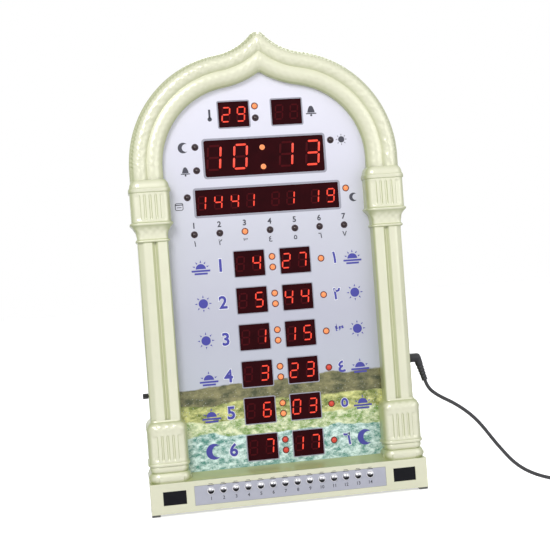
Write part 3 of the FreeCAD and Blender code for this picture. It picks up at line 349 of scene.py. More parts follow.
@dataclass(frozen=True)
class GlowFinish(Surface):
    """A lit lamp or segment: a pale core that reddens towards its rim."""

    rim: Shade
    core: Shade
    strength: float

    def paint(self, tree: bpy.types.NodeTree, sockets: bpy.types.NodeInputs) -> None:
        """Run from rim to core by the heat attribute, 0 to 1, with a little noise in it."""
        heat = add_node(tree, "Attribute", attribute_name="heat")
        spot = add_node(tree, "TexCoord").outputs["Object"]
        noise = add_node(tree, "TexNoise", {"Vector": spot, "Scale": 500.0})
        lift = add_node(tree, "Math", {0: noise.outputs["Fac"], 1: 0.25, 2: -0.12},
                        operation="MULTIPLY_ADD")
        total = add_node(tree, "Math", {0: lift.outputs["Value"], 1: heat.outputs["Fac"]},
                         operation="ADD", use_clamp=True)
        colour = mixed(tree, total.outputs["Value"], self.rim, self.core)
        node_link(tree, colour, sockets["Emission Color"])
        sockets["Base Color"].default_value = (*(0.25 * value for value in self.rim), 1.0)
        sockets["Roughness"].default_value = 0.3
        sockets["Emission Strength"].default_value = self.strength


SEGMENT_ON = GlowFinish("segment_lit", (0.90, 0.050, 0.020), (1.0, 0.46, 0.24), 1.05)
LAMP_AMBER = GlowFinish("lamp_amber", (0.78, 0.240, 0.080), (1.0, 0.82, 0.52), 1.15)
LAMP_RED = GlowFinish("lamp_red", (0.55, 0.045, 0.025), (1.0, 0.46, 0.28), 0.95)
# The halo is a painted glow on the flat ring round each lit lamp, for light spilling round it.
HALO = GlowFinish("lamp_halo", (0.13, 0.014, 0.010), (0.60, 0.14, 0.06), 0.55)


@dataclass(frozen=True)
class Hills:
    """One band of the printed landscape."""

    level: float
    swing: float
    scale: float
    low: Shade
    high: Shade


@dataclass(frozen=True)
class DialPrint(Surface):
    """The printed face: lavender white above, cooler below, and plain hills at its foot."""

    name: str = "dial_print"
    horizon: float = 0.098
    top: float = 0.415
    sky: tuple[tuple[float, Shade], ...] = (
        (0.0, (0.50, 0.53, 0.60)), (0.25, (0.52, 0.53, 0.62)), (0.5, (0.59, 0.60, 0.68)),
        (0.75, (0.71, 0.71, 0.81)), (1.0, (0.80, 0.79, 0.89)))
    bands: tuple[Hills, ...] = (
        Hills(0.017, 0.016, 13.0, (0.05, 0.06, 0.02), (0.27, 0.25, 0.11)),
        Hills(0.000, 0.007, 22.0, (0.12, 0.17, 0.02), (0.74, 0.74, 0.28)),
        Hills(-0.016, 0.007, 26.0, (0.20, 0.34, 0.08), (0.86, 0.90, 0.60)),
        Hills(-0.032, 0.016, 16.0, (0.08, 0.27, 0.22), (0.78, 0.95, 0.90)))

    def paint(self, tree: bpy.types.NodeTree, sockets: bpy.types.NodeInputs) -> None:
        """Lay the hills' bands and small pale flecks over the sky's ramp."""
        spot = add_node(tree, "TexCoord").outputs["Object"]
        height = add_node(tree, "SeparateXYZ", {"Vector": spot}).outputs["Z"]
        colour = self._sky(tree, height)
        for number, hills in enumerate(self.bands):
            colour = self._band(tree, colour, spot, height, number, hills)
        colour = self._flecks(tree, colour, spot, height)
        node_link(tree, colour, sockets["Base Color"])
        sockets["Roughness"].default_value = 0.22
        sockets["Coat Weight"].default_value = 0.35
        sockets["Coat Roughness"].default_value = 0.06

    def _sky(self, tree: bpy.types.NodeTree, height: bpy.types.NodeSocket
             ) -> bpy.types.NodeSocket:
        """Colour ramp over height, from the horizon's grey blue to the top's lavender."""
        span = add_node(tree, "MapRange", {"Value": height, "From Min": self.horizon,
                                           "From Max": self.top})
        ramp = add_node(tree, "ValToRGB", {"Fac": span.outputs["Result"]})
        stops = ramp.color_ramp.elements
        for stop, (where, shade) in zip((stops[0], stops[1]), (self.sky[0], self.sky[-1])):
            stop.position = where
            stop.color = (*shade, 1.0)
        for where, shade in self.sky[1:-1]:
            stops.new(where).color = (*shade, 1.0)
        return ramp.outputs["Color"]

    def _band(self, tree: bpy.types.NodeTree, below: bpy.types.NodeSocket,
              spot: bpy.types.NodeSocket, height: bpy.types.NodeSocket, number: int,
              hills: Hills) -> bpy.types.NodeSocket:
        """Lay one band of hills over what is there: all that lies under level plus noise.

        Args:
            tree: the material's nodes.
            below: the colour so far.
            spot: Object coordinates.
            height: Z in metres.
            number: which band, which shifts its noise and makes its grain finer.
            hills: the band's level, noise and shades.

        Returns:
            The colour with the band on it.
        """
        shift = add_node(tree, "Mapping", {
            "Vector": spot, "Location": (0.37 * number, 0.0, 0.11 * number),
            "Scale": (1.0, 1.0, 1.6)}).outputs["Vector"]
        edge = add_node(tree, "TexNoise", {"Vector": shift, "Scale": hills.scale,
                                           "Detail": 5.0})
        rise = add_node(tree, "Math", {
            0: edge.outputs["Fac"], 1: hills.swing * 2,
            2: self.horizon + hills.level - hills.swing}, operation="MULTIPLY_ADD")
        under = add_node(tree, "Math", {0: rise.outputs["Value"], 1: height},
                         operation="SUBTRACT")
        soft = add_node(tree, "MapRange", {"Value": under.outputs["Value"],
                                           "From Min": -0.0006, "From Max": 0.0008})
        grain = add_node(tree, "TexNoise", {"Vector": shift, "Scale": 60.0 + 25.0 * number,
                                            "Detail": 9.0, "Roughness": 0.72})
        sharp = add_node(tree, "MapRange", {"Value": grain.outputs["Fac"], "From Min": 0.40,
                                            "From Max": 0.61})
        shade = mixed(tree, sharp.outputs["Result"], hills.low, hills.high)
        return mixed(tree, soft.outputs["Result"], below, shade)

    def _flecks(self, tree: bpy.types.NodeTree, below: bpy.types.NodeSocket,
                spot: bpy.types.NodeSocket, height: bpy.types.NodeSocket
                ) -> bpy.types.NodeSocket:
        """Scatter small pale flecks over the hills, none above the horizon."""
        cells = add_node(tree, "TexVoronoi", {"Vector": spot, "Scale": 430.0})
        near = add_node(tree, "MapRange", {"Value": cells.outputs["Distance"],
                                           "From Min": 0.20, "From Max": 0.08})
        fade = add_node(tree, "MapRange", {"Value": height, "From Min": self.horizon + 0.018,
                                           "From Max": self.horizon - 0.012})
        both = add_node(tree, "Math", {0: near.outputs["Result"], 1: fade.outputs["Result"]},
                        operation="MULTIPLY")
        return mixed(tree, both.outputs["Value"], below, (0.86, 0.92, 0.88))


# Meshes


def placed(name: str, data: bpy.types.ID) -> bpy.types.Object:
    """Make an object of its data and put it into the scene."""
    made = bpy.data.objects.new(name, data)
    bpy.context.scene.collection.objects.link(made)
    return made


def smoothed(mesh: bpy.types.Mesh, limit: float) -> None:
    """Shade a mesh smooth, apart from edges sharper than limit degrees."""
    mesh.polygons.foreach_set("use_smooth", np.ones(len(mesh.polygons), bool))
    mesh.set_sharp_from_angle(angle=math.radians(limit))


def eased(shown: bpy.types.Object, width: float, segments: int, limit: float) -> None:
    """Round edges sharper than limit degrees by a bevel, its width in millimetres."""
    bevel = shown.modifiers.new("eased", "BEVEL")
    bevel.width = width * MM
    bevel.segments = segments
    bevel.limit_method = "ANGLE"
    bevel.angle_limit = math.radians(limit)


def dressed(shown: bpy.types.Object, finish: Surface) -> None:
    """Give an object one finish in place of what it had."""
    shown.data.materials.clear()
    shown.data.materials.append(finish.material())


@dataclass
class Skin:
    """Gathers grids and polygons, in millimetres, into one mesh piece."""

    name: str
    points: list[np.ndarray] = field(default_factory=list)
    faces: list[tuple[int, ...]] = field(default_factory=list)
    slots: list[int] = field(default_factory=list)
    heats: list[np.ndarray] = field(default_factory=list)
    count: int = 0

    def grid(self, spots: np.ndarray, slot: int = 0, round_rows: bool = False,
             round_columns: bool = False, heat: Optional[np.ndarray] = None) -> None:
        """Add a grid of quads: each cell joins four neighbouring points.

        Args:
            spots: points, rows by columns by three, in millimetres.
            slot: material index.
            round_rows: join the last row to the first.
            round_columns: join the last column to the first.
            heat: value of the heat attribute, rows by columns.
        """
        rows, columns = spots.shape[:2]
        index = np.arange(rows * columns).reshape(rows, columns) + self.count
        if round_rows:
            index = np.vstack([index, index[:1]])
        if round_columns:
            index = np.hstack([index, index[:, :1]])
        quads = np.stack([index[:-1, :-1], index[:-1, 1:], index[1:, 1:], index[1:, :-1]], -1)
        self._keep(spots.reshape(-1, 3), quads.reshape(-1, 4).tolist(), slot,
                   None if heat is None else heat.reshape(-1))

    def polygons(self, spots: np.ndarray, faces: Sequence[Sequence[int]], slot: int = 0,
                 heat: Optional[np.ndarray] = None) -> None:
        """Add polygons over their own points.

        Args:
            spots: points by three, in millimetres.
            faces: indices into spots.
            slot: material index.
            heat: value of the heat attribute at each point.
        """
        moved = [[corner + self.count for corner in face] for face in faces]
        self._keep(spots, moved, slot, heat)

    def _keep(self, spots: np.ndarray, faces: list, slot: int,
              heat: Optional[np.ndarray]) -> None:
        """Store one set of points and faces."""
        self.points.append(np.asarray(spots, float))
        self.faces.extend(tuple(face) for face in faces)
        self.slots.extend([slot] * len(faces))
        self.heats.append(np.zeros(len(spots)) if heat is None else np.asarray(heat, float))
        self.count += len(spots)

    def piece(self, body: str, finishes: Sequence[Surface], replaced: Sequence[str] = (),
              smooth: float = 34.0, mended: bool = True) -> bpy.types.Object:
        """Turn what was gathered into a piece that rides on a body.

        Args:
            body: the CAD body that it rides on.
            finishes: one finish for each material index.
            replaced: CAD nodes that it stands for.
            smooth: edges sharper than this many degrees stay sharp.
            mended: merge doubles and turn the faces outwards.

        Returns:
            The new object, at the origin.
        """
        mesh = bpy.data.meshes.new(self.name)
        mesh.from_pydata((np.vstack(self.points) * MM).tolist(), [], self.faces)
        mesh.polygons.foreach_set("material_index", np.array(self.slots, np.int32))
        heats = np.concatenate(self.heats)
        if heats.any():
            mesh.attributes.new("heat", "FLOAT", "POINT").data.foreach_set("value", heats)
        if mended:
            work = bmesh.new()
            work.from_mesh(mesh)
            bmesh.ops.remove_doubles(work, verts=work.verts, dist=MERGE_REACH)
            bmesh.ops.dissolve_degenerate(work, edges=work.edges, dist=1e-7)
            bmesh.ops.recalc_face_normals(work, faces=work.faces)
            work.to_mesh(mesh)
            work.free()
        smoothed(mesh, smooth)
        made = placed(self.name, mesh)
        for finish in finishes:
            mesh.materials.append(finish.material())
        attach(made, body)
        if replaced:
            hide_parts(*replaced)
        log.info("%s: %d faces", self.name, len(mesh.polygons))
        return made


def resample(corners: np.ndarray, step: float) -> np.ndarray:
    """Points along a polyline: every corner, and between them points about step apart.

    Args:
        corners: points by two or three.
        step: the largest spacing.

    Returns:
        The longer list of points.
    """
    parts = []
    for first, last in zip(corners[:-1], corners[1:]):
        pieces = max(1, math.ceil(float(np.linalg.norm(last - first)) / step))
        share = np.linspace(0, 1, pieces, endpoint=False)[:, None]
        parts.append(first + (last - first) * share)
    parts.append(corners[-1:])
    return np.vstack(parts)


def rounded(corners: Sequence[Sequence[float]], radii: Sequence[float],
            parts: int = 5) -> np.ndarray:
    """A polyline with each inner corner turned into a quadratic curve.

    A corner P of radius r is left at P + r u and met again at P + r v, u and v being the
    unit ways to its neighbours, and between them the line is (1-t)^2 A + 2t(1-t) P + t^2 B.

    Args:
        corners: the polyline's points.
        radii: how far from each inner corner its curve begins, 0 for a sharp corner.
        parts: how many pieces each curve has.

    Returns:
        The points of the rounded line.
    """
    line = np.asarray(corners, float)
    made = [line[:1]]
    for here, radius in zip(range(1, len(line) - 1), radii):
        corner = line[here]
        if radius <= 0:
            made.append(corner[None])
            continue
        back_way = line[here - 1] - corner
        on_way = line[here + 1] - corner
        first = corner + back_way / np.linalg.norm(back_way) * radius
        last = corner + on_way / np.linalg.norm(on_way) * radius
        share = np.linspace(0, 1, parts + 1)[:, None]
        made.append((1 - share) ** 2 * first + 2 * share * (1 - share) * corner
                    + share ** 2 * last)
    made.append(line[-1:])
    return np.vstack(made)


def arc_between(first: Sequence[float], last: Sequence[float], rise: float,
                parts: int = 8) -> np.ndarray:
    """A shallow curve between two points: the chord plus rise times 4t(1-t) to its left.

    Args:
        first: where it begins.
        last: where it ends.
        rise: how far it stands to the left of the way there.
        parts: how many pieces it has.

    Returns:
        Its points without the first.
    """
    start, end = np.asarray(first, float), np.asarray(last, float)
    way = end - start
    left = np.array([-way[1], way[0]]) / np.linalg.norm(way)
    share = np.linspace(0, 1, parts + 1)[1:, None]
    return start + way * share + left * rise * 4 * share * (1 - share)


def turned(profile: np.ndarray, centre: Sequence[float], axis: str,
           parts: int = 32) -> np.ndarray:
    """A surface of revolution: a profile of (distance along, radius) turned round an axis.

    Args:
        profile: points of (distance along the axis, radius).
        centre: the point that distance 0 stands at.
        axis: "X" or "Y".
        parts: how many columns it has.

    Returns:
        Points, rows by columns by three.
    """
    turn = np.linspace(0, 2 * np.pi, parts, endpoint=False)
    along = profile[:, 0][:, None] * np.ones(parts)
    across = profile[:, 1][:, None] * np.cos(turn)
    up = profile[:, 1][:, None] * np.sin(turn)
    order = (along, across, up) if axis == "X" else (across, along, up)
    return np.stack(order, -1) + np.asarray(centre, float)


# Front frame


@dataclass
class ArchBand:
    """The arch's rolled moulding, with a roped edge and shallow leaf relief."""

    step: float = 1.1
    rope_pitch: float = 3.9
    rope_height: float = 0.85
    leaf_pitch: float = 13.5
    leaf_height: float = 0.24

    def profile(self) -> np.ndarray:
        """Section as (distance inside the outer edge, Y): side, two rolls, inner wall."""
        roll_end = (16.4, SHAFT_FACE + 4.4)
        bead_end = (29.6, SHAFT_FACE + 6.2)
        return np.vstack([
            [(0.0, PARTING), (0.0, 8.0), (0.0, 0.0), (0.0, SHAFT_FACE + 9.6)],
            [(0.5, SHAFT_FACE + 8.0), (1.6, SHAFT_FACE + 6.6), (2.6, SHAFT_FACE + 5.6)],
            arc_between((2.6, SHAFT_FACE + 4.6), roll_end, -3.6, 18),
            arc_between(roll_end, bead_end, -2.6, 14),
            [(31.0, SHAFT_FACE + 7.4), (31.6, SHAFT_FACE + 8.8), (31.6, -3.0),
             (31.6, DIAL_FACE - HAIR)],
        ])

    def outline(self, inset: np.ndarray) -> tuple[np.ndarray, np.ndarray]:
        """Right half of the arch's lines, each a given distance inside the outer one.

        A line runs straight up the stilt, round the main arc of radius R less the inset,
        round the ogee of radius r plus the inset, and over the tip's small round, whose
        radius falls to 2.5 as the inset grows.

        Args:
            inset: one distance for each line.

        Returns:
            X and Z, points along by lines.
        """
        stilt = np.linspace(0, 1, 8, endpoint=False)[:, None]
        main = np.linspace(0, 1, round(148 / self.step), endpoint=False)[:, None]
        ogee = np.linspace(0, 1, round(48 / self.step), endpoint=False)[:, None]
        peak = np.linspace(0, 1, 9)[:, None]
        join = math.radians(9.0)
        turn = (math.pi / 2 - join) * main
        radius = 106.0 - inset
        wide = 60.0 + inset
        tip = np.clip(9.0 - inset, 2.5, None)
        last = np.arcsin(OGEE_X / (wide + tip))
        sweep = join + (last - join) * ogee
        centre = OGEE_Z - np.sqrt((wide + tip) ** 2 - OGEE_X ** 2)
        round_off = last * (1 - peak)
        x = np.vstack([
            (ARCH_OUTER - inset) * np.ones_like(stilt),
            ARCH_X + radius * np.cos(turn),
            OGEE_X - wide * np.sin(sweep),
            tip * np.sin(round_off),
        ])
        z = np.vstack([
            (CAPITAL_TOP - 3.0 + (SPRING - CAPITAL_TOP + 3.0) * stilt) * np.ones_like(inset),
            SPRING + radius * np.sin(turn),
            OGEE_Z - wide * np.cos(sweep),
            centre + tip * np.cos(round_off),
        ])
        return x, z

    def build(self) -> bpy.types.Object:
        """Sweep the section along the outline, and raise the rope and the leaves."""
        profile = self.profile()
        inset = profile[:, 0]
        x, z = self.outline(inset)
        y = profile[:, 1] * np.ones_like(x)
        middle = 8
        run = np.cumsum(np.hypot(np.gradient(x[:, middle]), np.gradient(z[:, middle])))[:, None]
        rope = np.exp(-((inset - 2.4) / 1.5) ** 2)
        turn = 2 * np.pi * run / self.rope_pitch
        y = y - self.rope_height * rope * np.cos(turn + inset * 0.9)
        leaf = np.exp(-((inset - 10.0) / 4.2) ** 2)
        swirl = 2 * np.pi * run / self.leaf_pitch
        vein = (np.cos(swirl) * np.cos(inset * 0.55) + 0.5 * np.cos(1.73 * swirl - inset * 0.9)
                + 0.4 * np.cos(2.61 * swirl + inset * 1.1))
        inner = np.exp(-((inset - 23.5) / 3.6) ** 2)
        curl = np.cos(swirl * 1.5 + 1.1) * np.cos(inset * 0.7 + 0.4)
        y = y - self.leaf_height * (leaf * vein + 0.8 * inner * curl)
        skin = Skin("arch_band")
        right = np.stack([x, y, z], -1)
        left = right * np.array([-1.0, 1.0, 1.0])
        skin.grid(right)
        skin.grid(left[:, ::-1])
        return skin.piece("case", [PEARL])


@dataclass
class Column:
    """One column: grooved shaft with a moulded base and capital, mirrored by side."""

    side: int = 1
    corner: float = 4.6
    flute_pitch: float = 5.2
    flute_depth: float = 1.0
    flute_half: float = 0.21
    leaf_pitch: float = 7.2
    leaf_height: float = 0.45

    def shaft(self, skin: Skin) -> None:
        """Run the shaft's section, two flats and a V groove, straight up."""
        middle = HALF_OPENING + 12.9
        section = rounded([
            (COLUMN_OUTER, PARTING), (COLUMN_OUTER, SHAFT_FACE + 4.6),
            (COLUMN_OUTER - 6.0, SHAFT_FACE), (middle + 2.9, SHAFT_FACE),
            (middle, SHAFT_FACE + 3.4), (middle - 2.9, SHAFT_FACE),
            (HALF_OPENING + 1.8, SHAFT_FACE), (HALF_OPENING, SHAFT_FACE + 2.7),
            (HALF_OPENING, DIAL_FACE - HAIR),
        ], [1.6, 1.6, 0.9, 0.5, 0.9, 1.2, 1.2], 5)
        levels = np.linspace(BASE_TOP - 1.0, CAPITAL_FOOT + 1.0, 24)
        spots = np.empty((len(levels), len(section), 3))
        spots[..., 0] = section[:, 0] * self.side
        spots[..., 1] = section[:, 1]
        spots[..., 2] = levels[:, None]
        skin.grid(spots)

    def plan(self) -> tuple[np.ndarray, np.ndarray]:
        """Plan line round the column and its outward normals.

        The line is a rectangle with quarter circles for corners, so that a moulding of
        reach r lies r further out everywhere.

        Returns:
            Points by two, and unit normals by two.
        """
        bend = self.corner
        left, right = HALF_OPENING + bend, COLUMN_OUTER - bend
        face = SHAFT_FACE + bend
        inner = np.linspace(DIAL_FACE - HAIR, face, 8, endpoint=False)
        front = np.linspace(left, right, 97)[1:-1]
        outer = np.linspace(face, PARTING - 0.15, 20)[1:]
        quarter = np.linspace(0, np.pi / 2, 10)
        spots = np.vstack([
            np.stack([np.full_like(inner, HALF_OPENING), inner], -1),
            np.stack([left - bend * np.cos(quarter), face - bend * np.sin(quarter)], -1),
            np.stack([front, np.full_like(front, SHAFT_FACE)], -1),
            np.stack([right + bend * np.sin(quarter), face - bend * np.cos(quarter)], -1),
            np.stack([np.full_like(outer, COLUMN_OUTER), outer], -1),
        ])
        normals = np.vstack([
            np.tile([-1.0, 0.0], (len(inner), 1)),
            np.stack([-np.cos(quarter), -np.sin(quarter)], -1),
            np.tile([0.0, -1.0], (len(front), 1)),
            np.stack([np.sin(quarter), -np.cos(quarter)], -1),
            np.tile([1.0, 0.0], (len(outer), 1)),
        ])
        return spots, normals

    def moulding(self, skin: Skin, profile: np.ndarray, drum: tuple[float, float],
                 leaves: Optional[tuple[float, float]] = None) -> None:
        """Carry a profile of (reach, Z) round the plan line, with flutes over the drum.

        Each point is plan + reach times normal. On the drum a flute of depth d lowers the
        reach by d times sqrt(1 - (x/w)^2) within each pitch across the front, w being
        flute_half as a share of the pitch. A last column closes the moulding's back.

        Args:
            skin: what gathers the faces.
            profile: points of (reach, Z).
            drum: lowest and highest Z of the flutes.
            leaves: lowest and highest Z of leaf relief, or None.
        """
        spots, normals = self.plan()
        reach = np.repeat(profile[:, 0][:, None], len(spots), 1)
        level = np.repeat(profile[:, 1][:, None], len(spots), 1)
        middle = (HALF_OPENING + COLUMN_OUTER) / 2
        across = (spots[:, 0] - middle) / self.flute_pitch
        inside = (np.abs(across) < 2.5) & (spots[:, 1] <= SHAFT_FACE + self.corner)
        offset = (across + 0.5) % 1.0 - 0.5
        bowl = np.sqrt(np.clip(1 - (offset / self.flute_half) ** 2, 0, 1)) * inside
        margin = 2.2
        rise = np.clip(np.minimum(level - drum[0] - margin, drum[1] - margin - level) / 1.3, 0, 1)
        reach = reach - self.flute_depth * bowl * np.sqrt(rise)
        if leaves is not None:
            span = np.clip((level - leaves[0]) / (leaves[1] - leaves[0]), 0, 1)
            run = np.cumsum(np.hypot(*np.gradient(spots, axis=0).T))
            lobe = (np.cos(2 * np.pi * run / self.leaf_pitch)
                    * np.cos(np.pi * (span * 1.6 - 0.3)))
            reach = reach + self.leaf_height * lobe * np.sin(np.pi * span) ** 2
        solid = np.empty((*reach.shape, 3))
        solid[..., 0] = (spots[:, 0] + normals[:, 0] * reach) * self.side
        solid[..., 1] = spots[:, 1] + normals[:, 1] * reach
        solid[..., 1] = np.where(normals[:, 1] == 0, spots[:, 1], solid[..., 1])
        solid[..., 2] = level
        closing = solid[:, -1:].copy()
        closing[..., 0] = (COLUMN_OUTER - 4.0) * self.side
        skin.grid(np.hstack([solid, closing]))

    def base_profile(self) -> np.ndarray:
        """Base from below: torus, neck, ring, fluted drum and a bell to the shaft."""
        foot = PLINTH_TOP - 0.2
        return np.vstack([
            [(-1.5, foot), (3.4, foot)],
            arc_between((3.4, foot), (3.9, PLINTH_TOP + 9.0), -2.0, 10),
            [(2.6, PLINTH_TOP + 9.3)],
            arc_between((2.6, PLINTH_TOP + 9.3), (3.4, PLINTH_TOP + 15.2), -0.9, 8),
            [(5.2, PLINTH_TOP + 15.8), (5.4, PLINTH_TOP + 16.3), (5.4, PLINTH_TOP + 17.9),
             (5.1, PLINTH_TOP + 18.4), (4.4, PLINTH_TOP + 18.6)],
            resample(np.array([(4.4, PLINTH_TOP + 18.7), (4.4, PLINTH_TOP + 46.3)]), 0.8),
            arc_between((4.3, PLINTH_TOP + 46.8), (0.4, BASE_TOP - 1.6), -2.0, 16),
            [(0.1, BASE_TOP - 0.6), (-0.4, BASE_TOP), (-1.5, BASE_TOP)],
        ])

    def capital_profile(self) -> np.ndarray:
        """Capital from below: bead, leafy bell, ring, fluted drum, ring and slope."""
        foot = CAPITAL_FOOT
        return np.vstack([
            [(-1.5, foot), (0.3, foot)],
            arc_between((0.3, foot), (0.3, foot + 3.2), -1.5, 8),
            arc_between((0.3, foot + 3.6), (5.0, foot + 15.8), 1.6, 22),
            [(5.6, foot + 16.2)],
            arc_between((5.6, foot + 16.4), (5.3, foot + 18.8), -0.8, 6),
            [(4.4, foot + 19.2)],
            resample(np.array([(4.4, foot + 19.3), (4.4, foot + 46.8)]), 0.8),
            [(5.2, foot + 47.2), (5.5, foot + 47.7), (5.5, foot + 50.4), (5.0, foot + 51.0)],
            arc_between((4.4, foot + 51.2), (1.4, foot + 58.6), -0.8, 8),
            [(-1.5, foot + 59.0)],
        ])

    def build(self) -> bpy.types.Object:
        """Join shaft, base and capital into one piece."""
        skin = Skin("column_right" if self.side > 0 else "column_left")
        self.shaft(skin)
        self.moulding(skin, self.base_profile(), (PLINTH_TOP + 18.6, PLINTH_TOP + 46.6),
                      (PLINTH_TOP + 47.5, BASE_TOP - 2.5))
        self.moulding(skin, self.capital_profile(), (CAPITAL_FOOT + 19, CAPITAL_FOOT + 47),
                      (CAPITAL_FOOT + 4.5, CAPITAL_FOOT + 15.0))
        return skin.piece("case", [PEARL])


@dataclass
class Plinth:
    """The plinth with its ledge, recess and holes: the CAD shell's foot, edges eased."""

    ease: float = 0.5

    def build(self) -> bpy.types.Object:
        """Copy the shell, merge it, keep what lies under the ledge's top, ease its edges."""
        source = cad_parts["front_frame"]
        work = bmesh.new()
        work.from_mesh(source.data)
        bmesh.ops.remove_doubles(work, verts=work.verts, dist=MERGE_REACH)
        everything = list(work.verts) + list(work.edges) + list(work.faces)
        bmesh.ops.bisect_plane(work, geom=everything, dist=1e-7,
                               plane_co=(0, 0, (PLINTH_TOP + 5.2) * MM), plane_no=(0, 0, 1),
                               clear_outer=True)
        bmesh.ops.dissolve_limit(work, angle_limit=math.radians(1.0), verts=work.verts,
                                 edges=work.edges)
        mesh = bpy.data.meshes.new("plinth")
        work.to_mesh(mesh)
        work.free()
        made = placed("plinth", mesh)
        smoothed(mesh, 30.0)
        mesh.materials.append(PEARL.material())
        eased(made, self.ease, 2, 40.0)
        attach(made, "case")
        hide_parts("front_frame")
        log.info("plinth: %d faces", len(mesh.polygons))
        return made


# Displays and lamps

SEGMENTS_OF = {
    " ": "", "0": "abcdef", "1": "bc", "2": "abged", "3": "abgcd", "4": "fgbc",
    "5": "afgcd", "6": "afgedc", "7": "abc", "8": "abcdefg", "9": "abcdfg",
}


@dataclass
class Digits:
    """Seven-segment digits of all displays, lit and unlit, standing on their faces."""

    face: float = -1.0
    lift: float = 0.12
    slant: float = 0.10

    def segment(self, name: str, width: float, height: float, bar: float) -> np.ndarray:
        """Outline of one segment: a bar with pointed ends, in the digit's own plane.

        Args:
            name: a letter from a to g.
            width: the digit's width.
            height: the digit's height.
            bar: the bar's thickness as a share of the width.

        Returns:
            Six points by two about the digit's middle.
        """
        thick = bar * width
        gap = 0.035 * width
        half_w, half_h = width / 2 - thick / 2, height / 2 - thick / 2
        ends = {
            "a": ((-half_w, half_h), (half_w, half_h)),
            "g": ((-half_w, 0), (half_w, 0)),
            "d": ((-half_w, -half_h), (half_w, -half_h)),
            "f": ((-half_w, 0), (-half_w, half_h)),
            "b": ((half_w, 0), (half_w, half_h)),
            "e": ((-half_w, -half_h), (-half_w, 0)),
            "c": ((half_w, -half_h), (half_w, 0)),
        }[name]
        first, last = np.array(ends[0]), np.array(ends[1])
        way = (last - first) / np.linalg.norm(last - first)
        side = np.array([-way[1], way[0]]) * thick / 2
        first, last = first + way * gap, last - way * gap
        neck = way * thick / 2
        return np.array([first, first + neck + side, last - neck + side, last,
                         last - neck - side, first + neck - side])

    def digit(self, lit: Skin, dark: Skin, sign: str, x: float, z: float, width: float,
              height: float, bar: float = 0.165) -> None:
        """Stand one digit's seven bars on a display.

        Args:
            lit: gathers the lit bars.
            dark: gathers the unlit ones.
            sign: the figure, or a blank.
            x: the digit's middle.
            z: the digit's middle.
            width: its width.
            height: its height.
            bar: the bars' thickness as a share of the width.
        """
        for name in "abcdefg":
            flat = self.segment(name, width, height, bar)
            flat[:, 0] += flat[:, 1] * self.slant
            core = flat.mean(0)
            ring = core + (flat - core) * np.array([0.80, 0.80])
            low = np.stack([flat[:, 0] + x, np.full(6, self.face + HAIR), flat[:, 1] + z], -1)
            high = np.stack([ring[:, 0] + x, np.full(6, self.face - self.lift),
                             ring[:, 1] + z], -1)
            mid = np.array([[core[0] + x, self.face - self.lift, core[1] + z]])
            spots = np.vstack([low, high, mid])
            sides = [[n, (n + 1) % 6, 6 + (n + 1) % 6, 6 + n] for n in range(6)]
            tops = [[6 + n, 6 + (n + 1) % 6, 12] for n in range(6)]
            heat = np.r_[np.zeros(6), np.full(6, 0.35), 1.0]
            if name in SEGMENTS_OF[sign]:
                lit.polygons(spots, sides + tops, 0, heat)
            else:
                dark.polygons(spots, sides + tops)

    def dots(self, lit: Skin, places: Sequence[tuple[float, float]], radius: float) -> None:
        """Round dots between the figures of the large display.

        Args:
            lit: gathers them.
            places: X and Z of each.
            radius: their radius.
        """
        parts = 20
        profile = np.array([(HAIR, radius), (-0.08, radius * 0.92), (-self.lift, radius * 0.6),
                            (-self.lift - 0.02, POINT)])
        for x, z in places:
            spots = turned(profile, (x, self.face, z), "Y", parts)
            heat = np.repeat(np.array([0.0, 0.1, 0.8, 1.0])[:, None], parts, 1)
            lit.grid(spots, 0, round_columns=True, heat=heat)

    def build(self) -> list[bpy.types.Object]:
        """All figures: prayer rows, date, time and temperature."""
        lit, dark = Skin("figures_lit"), Skin("figures_unlit")
        amber = Skin("time_dots")
        rows = ((" 4", "27"), (" 5", "44"), (" 1", "15"), (" 3", "23"), (" 6", "03"),
                (" 7", "17"))
        for level, pair in zip(ROW_LEVELS, rows):
            for side, text in zip(ROW_BLOCKS, pair):
                for step, sign in zip((-8.7, 7.1), text):
                    self.digit(lit, dark, sign, side + step, level, 8.4, 14.9)
        for x, text in zip(DATE_BLOCKS, ("29", "  ")):
            for step, sign in zip((-7.4, 7.2), text):
                self.digit(lit, dark, sign, x + step, DATE_LEVEL, 8.4, 14.8)
        for x, sign in zip((-49.0, -23.5, 21.3, 47.3), "1013"):
            self.digit(lit, dark, sign, x, 333.2, 14.2, 24.8, 0.145)
        self.dots(amber, ((-1.8, 341.0), (-1.8, 322.3)), 2.7)
        for x, sign in zip((-63.8, -48.0, -32.0, -16.8, 7.6, 22.4, 46.6, 62.0), "1441 119"):
            self.digit(lit, dark, sign, x, 290.6, 8.2, 13.9)
        return [lit.piece("case", [SEGMENT_ON], mended=False),
                amber.piece("case", [LAMP_AMBER], mended=False),
                dark.piece("case", [SEGMENT_OFF], mended=False)]


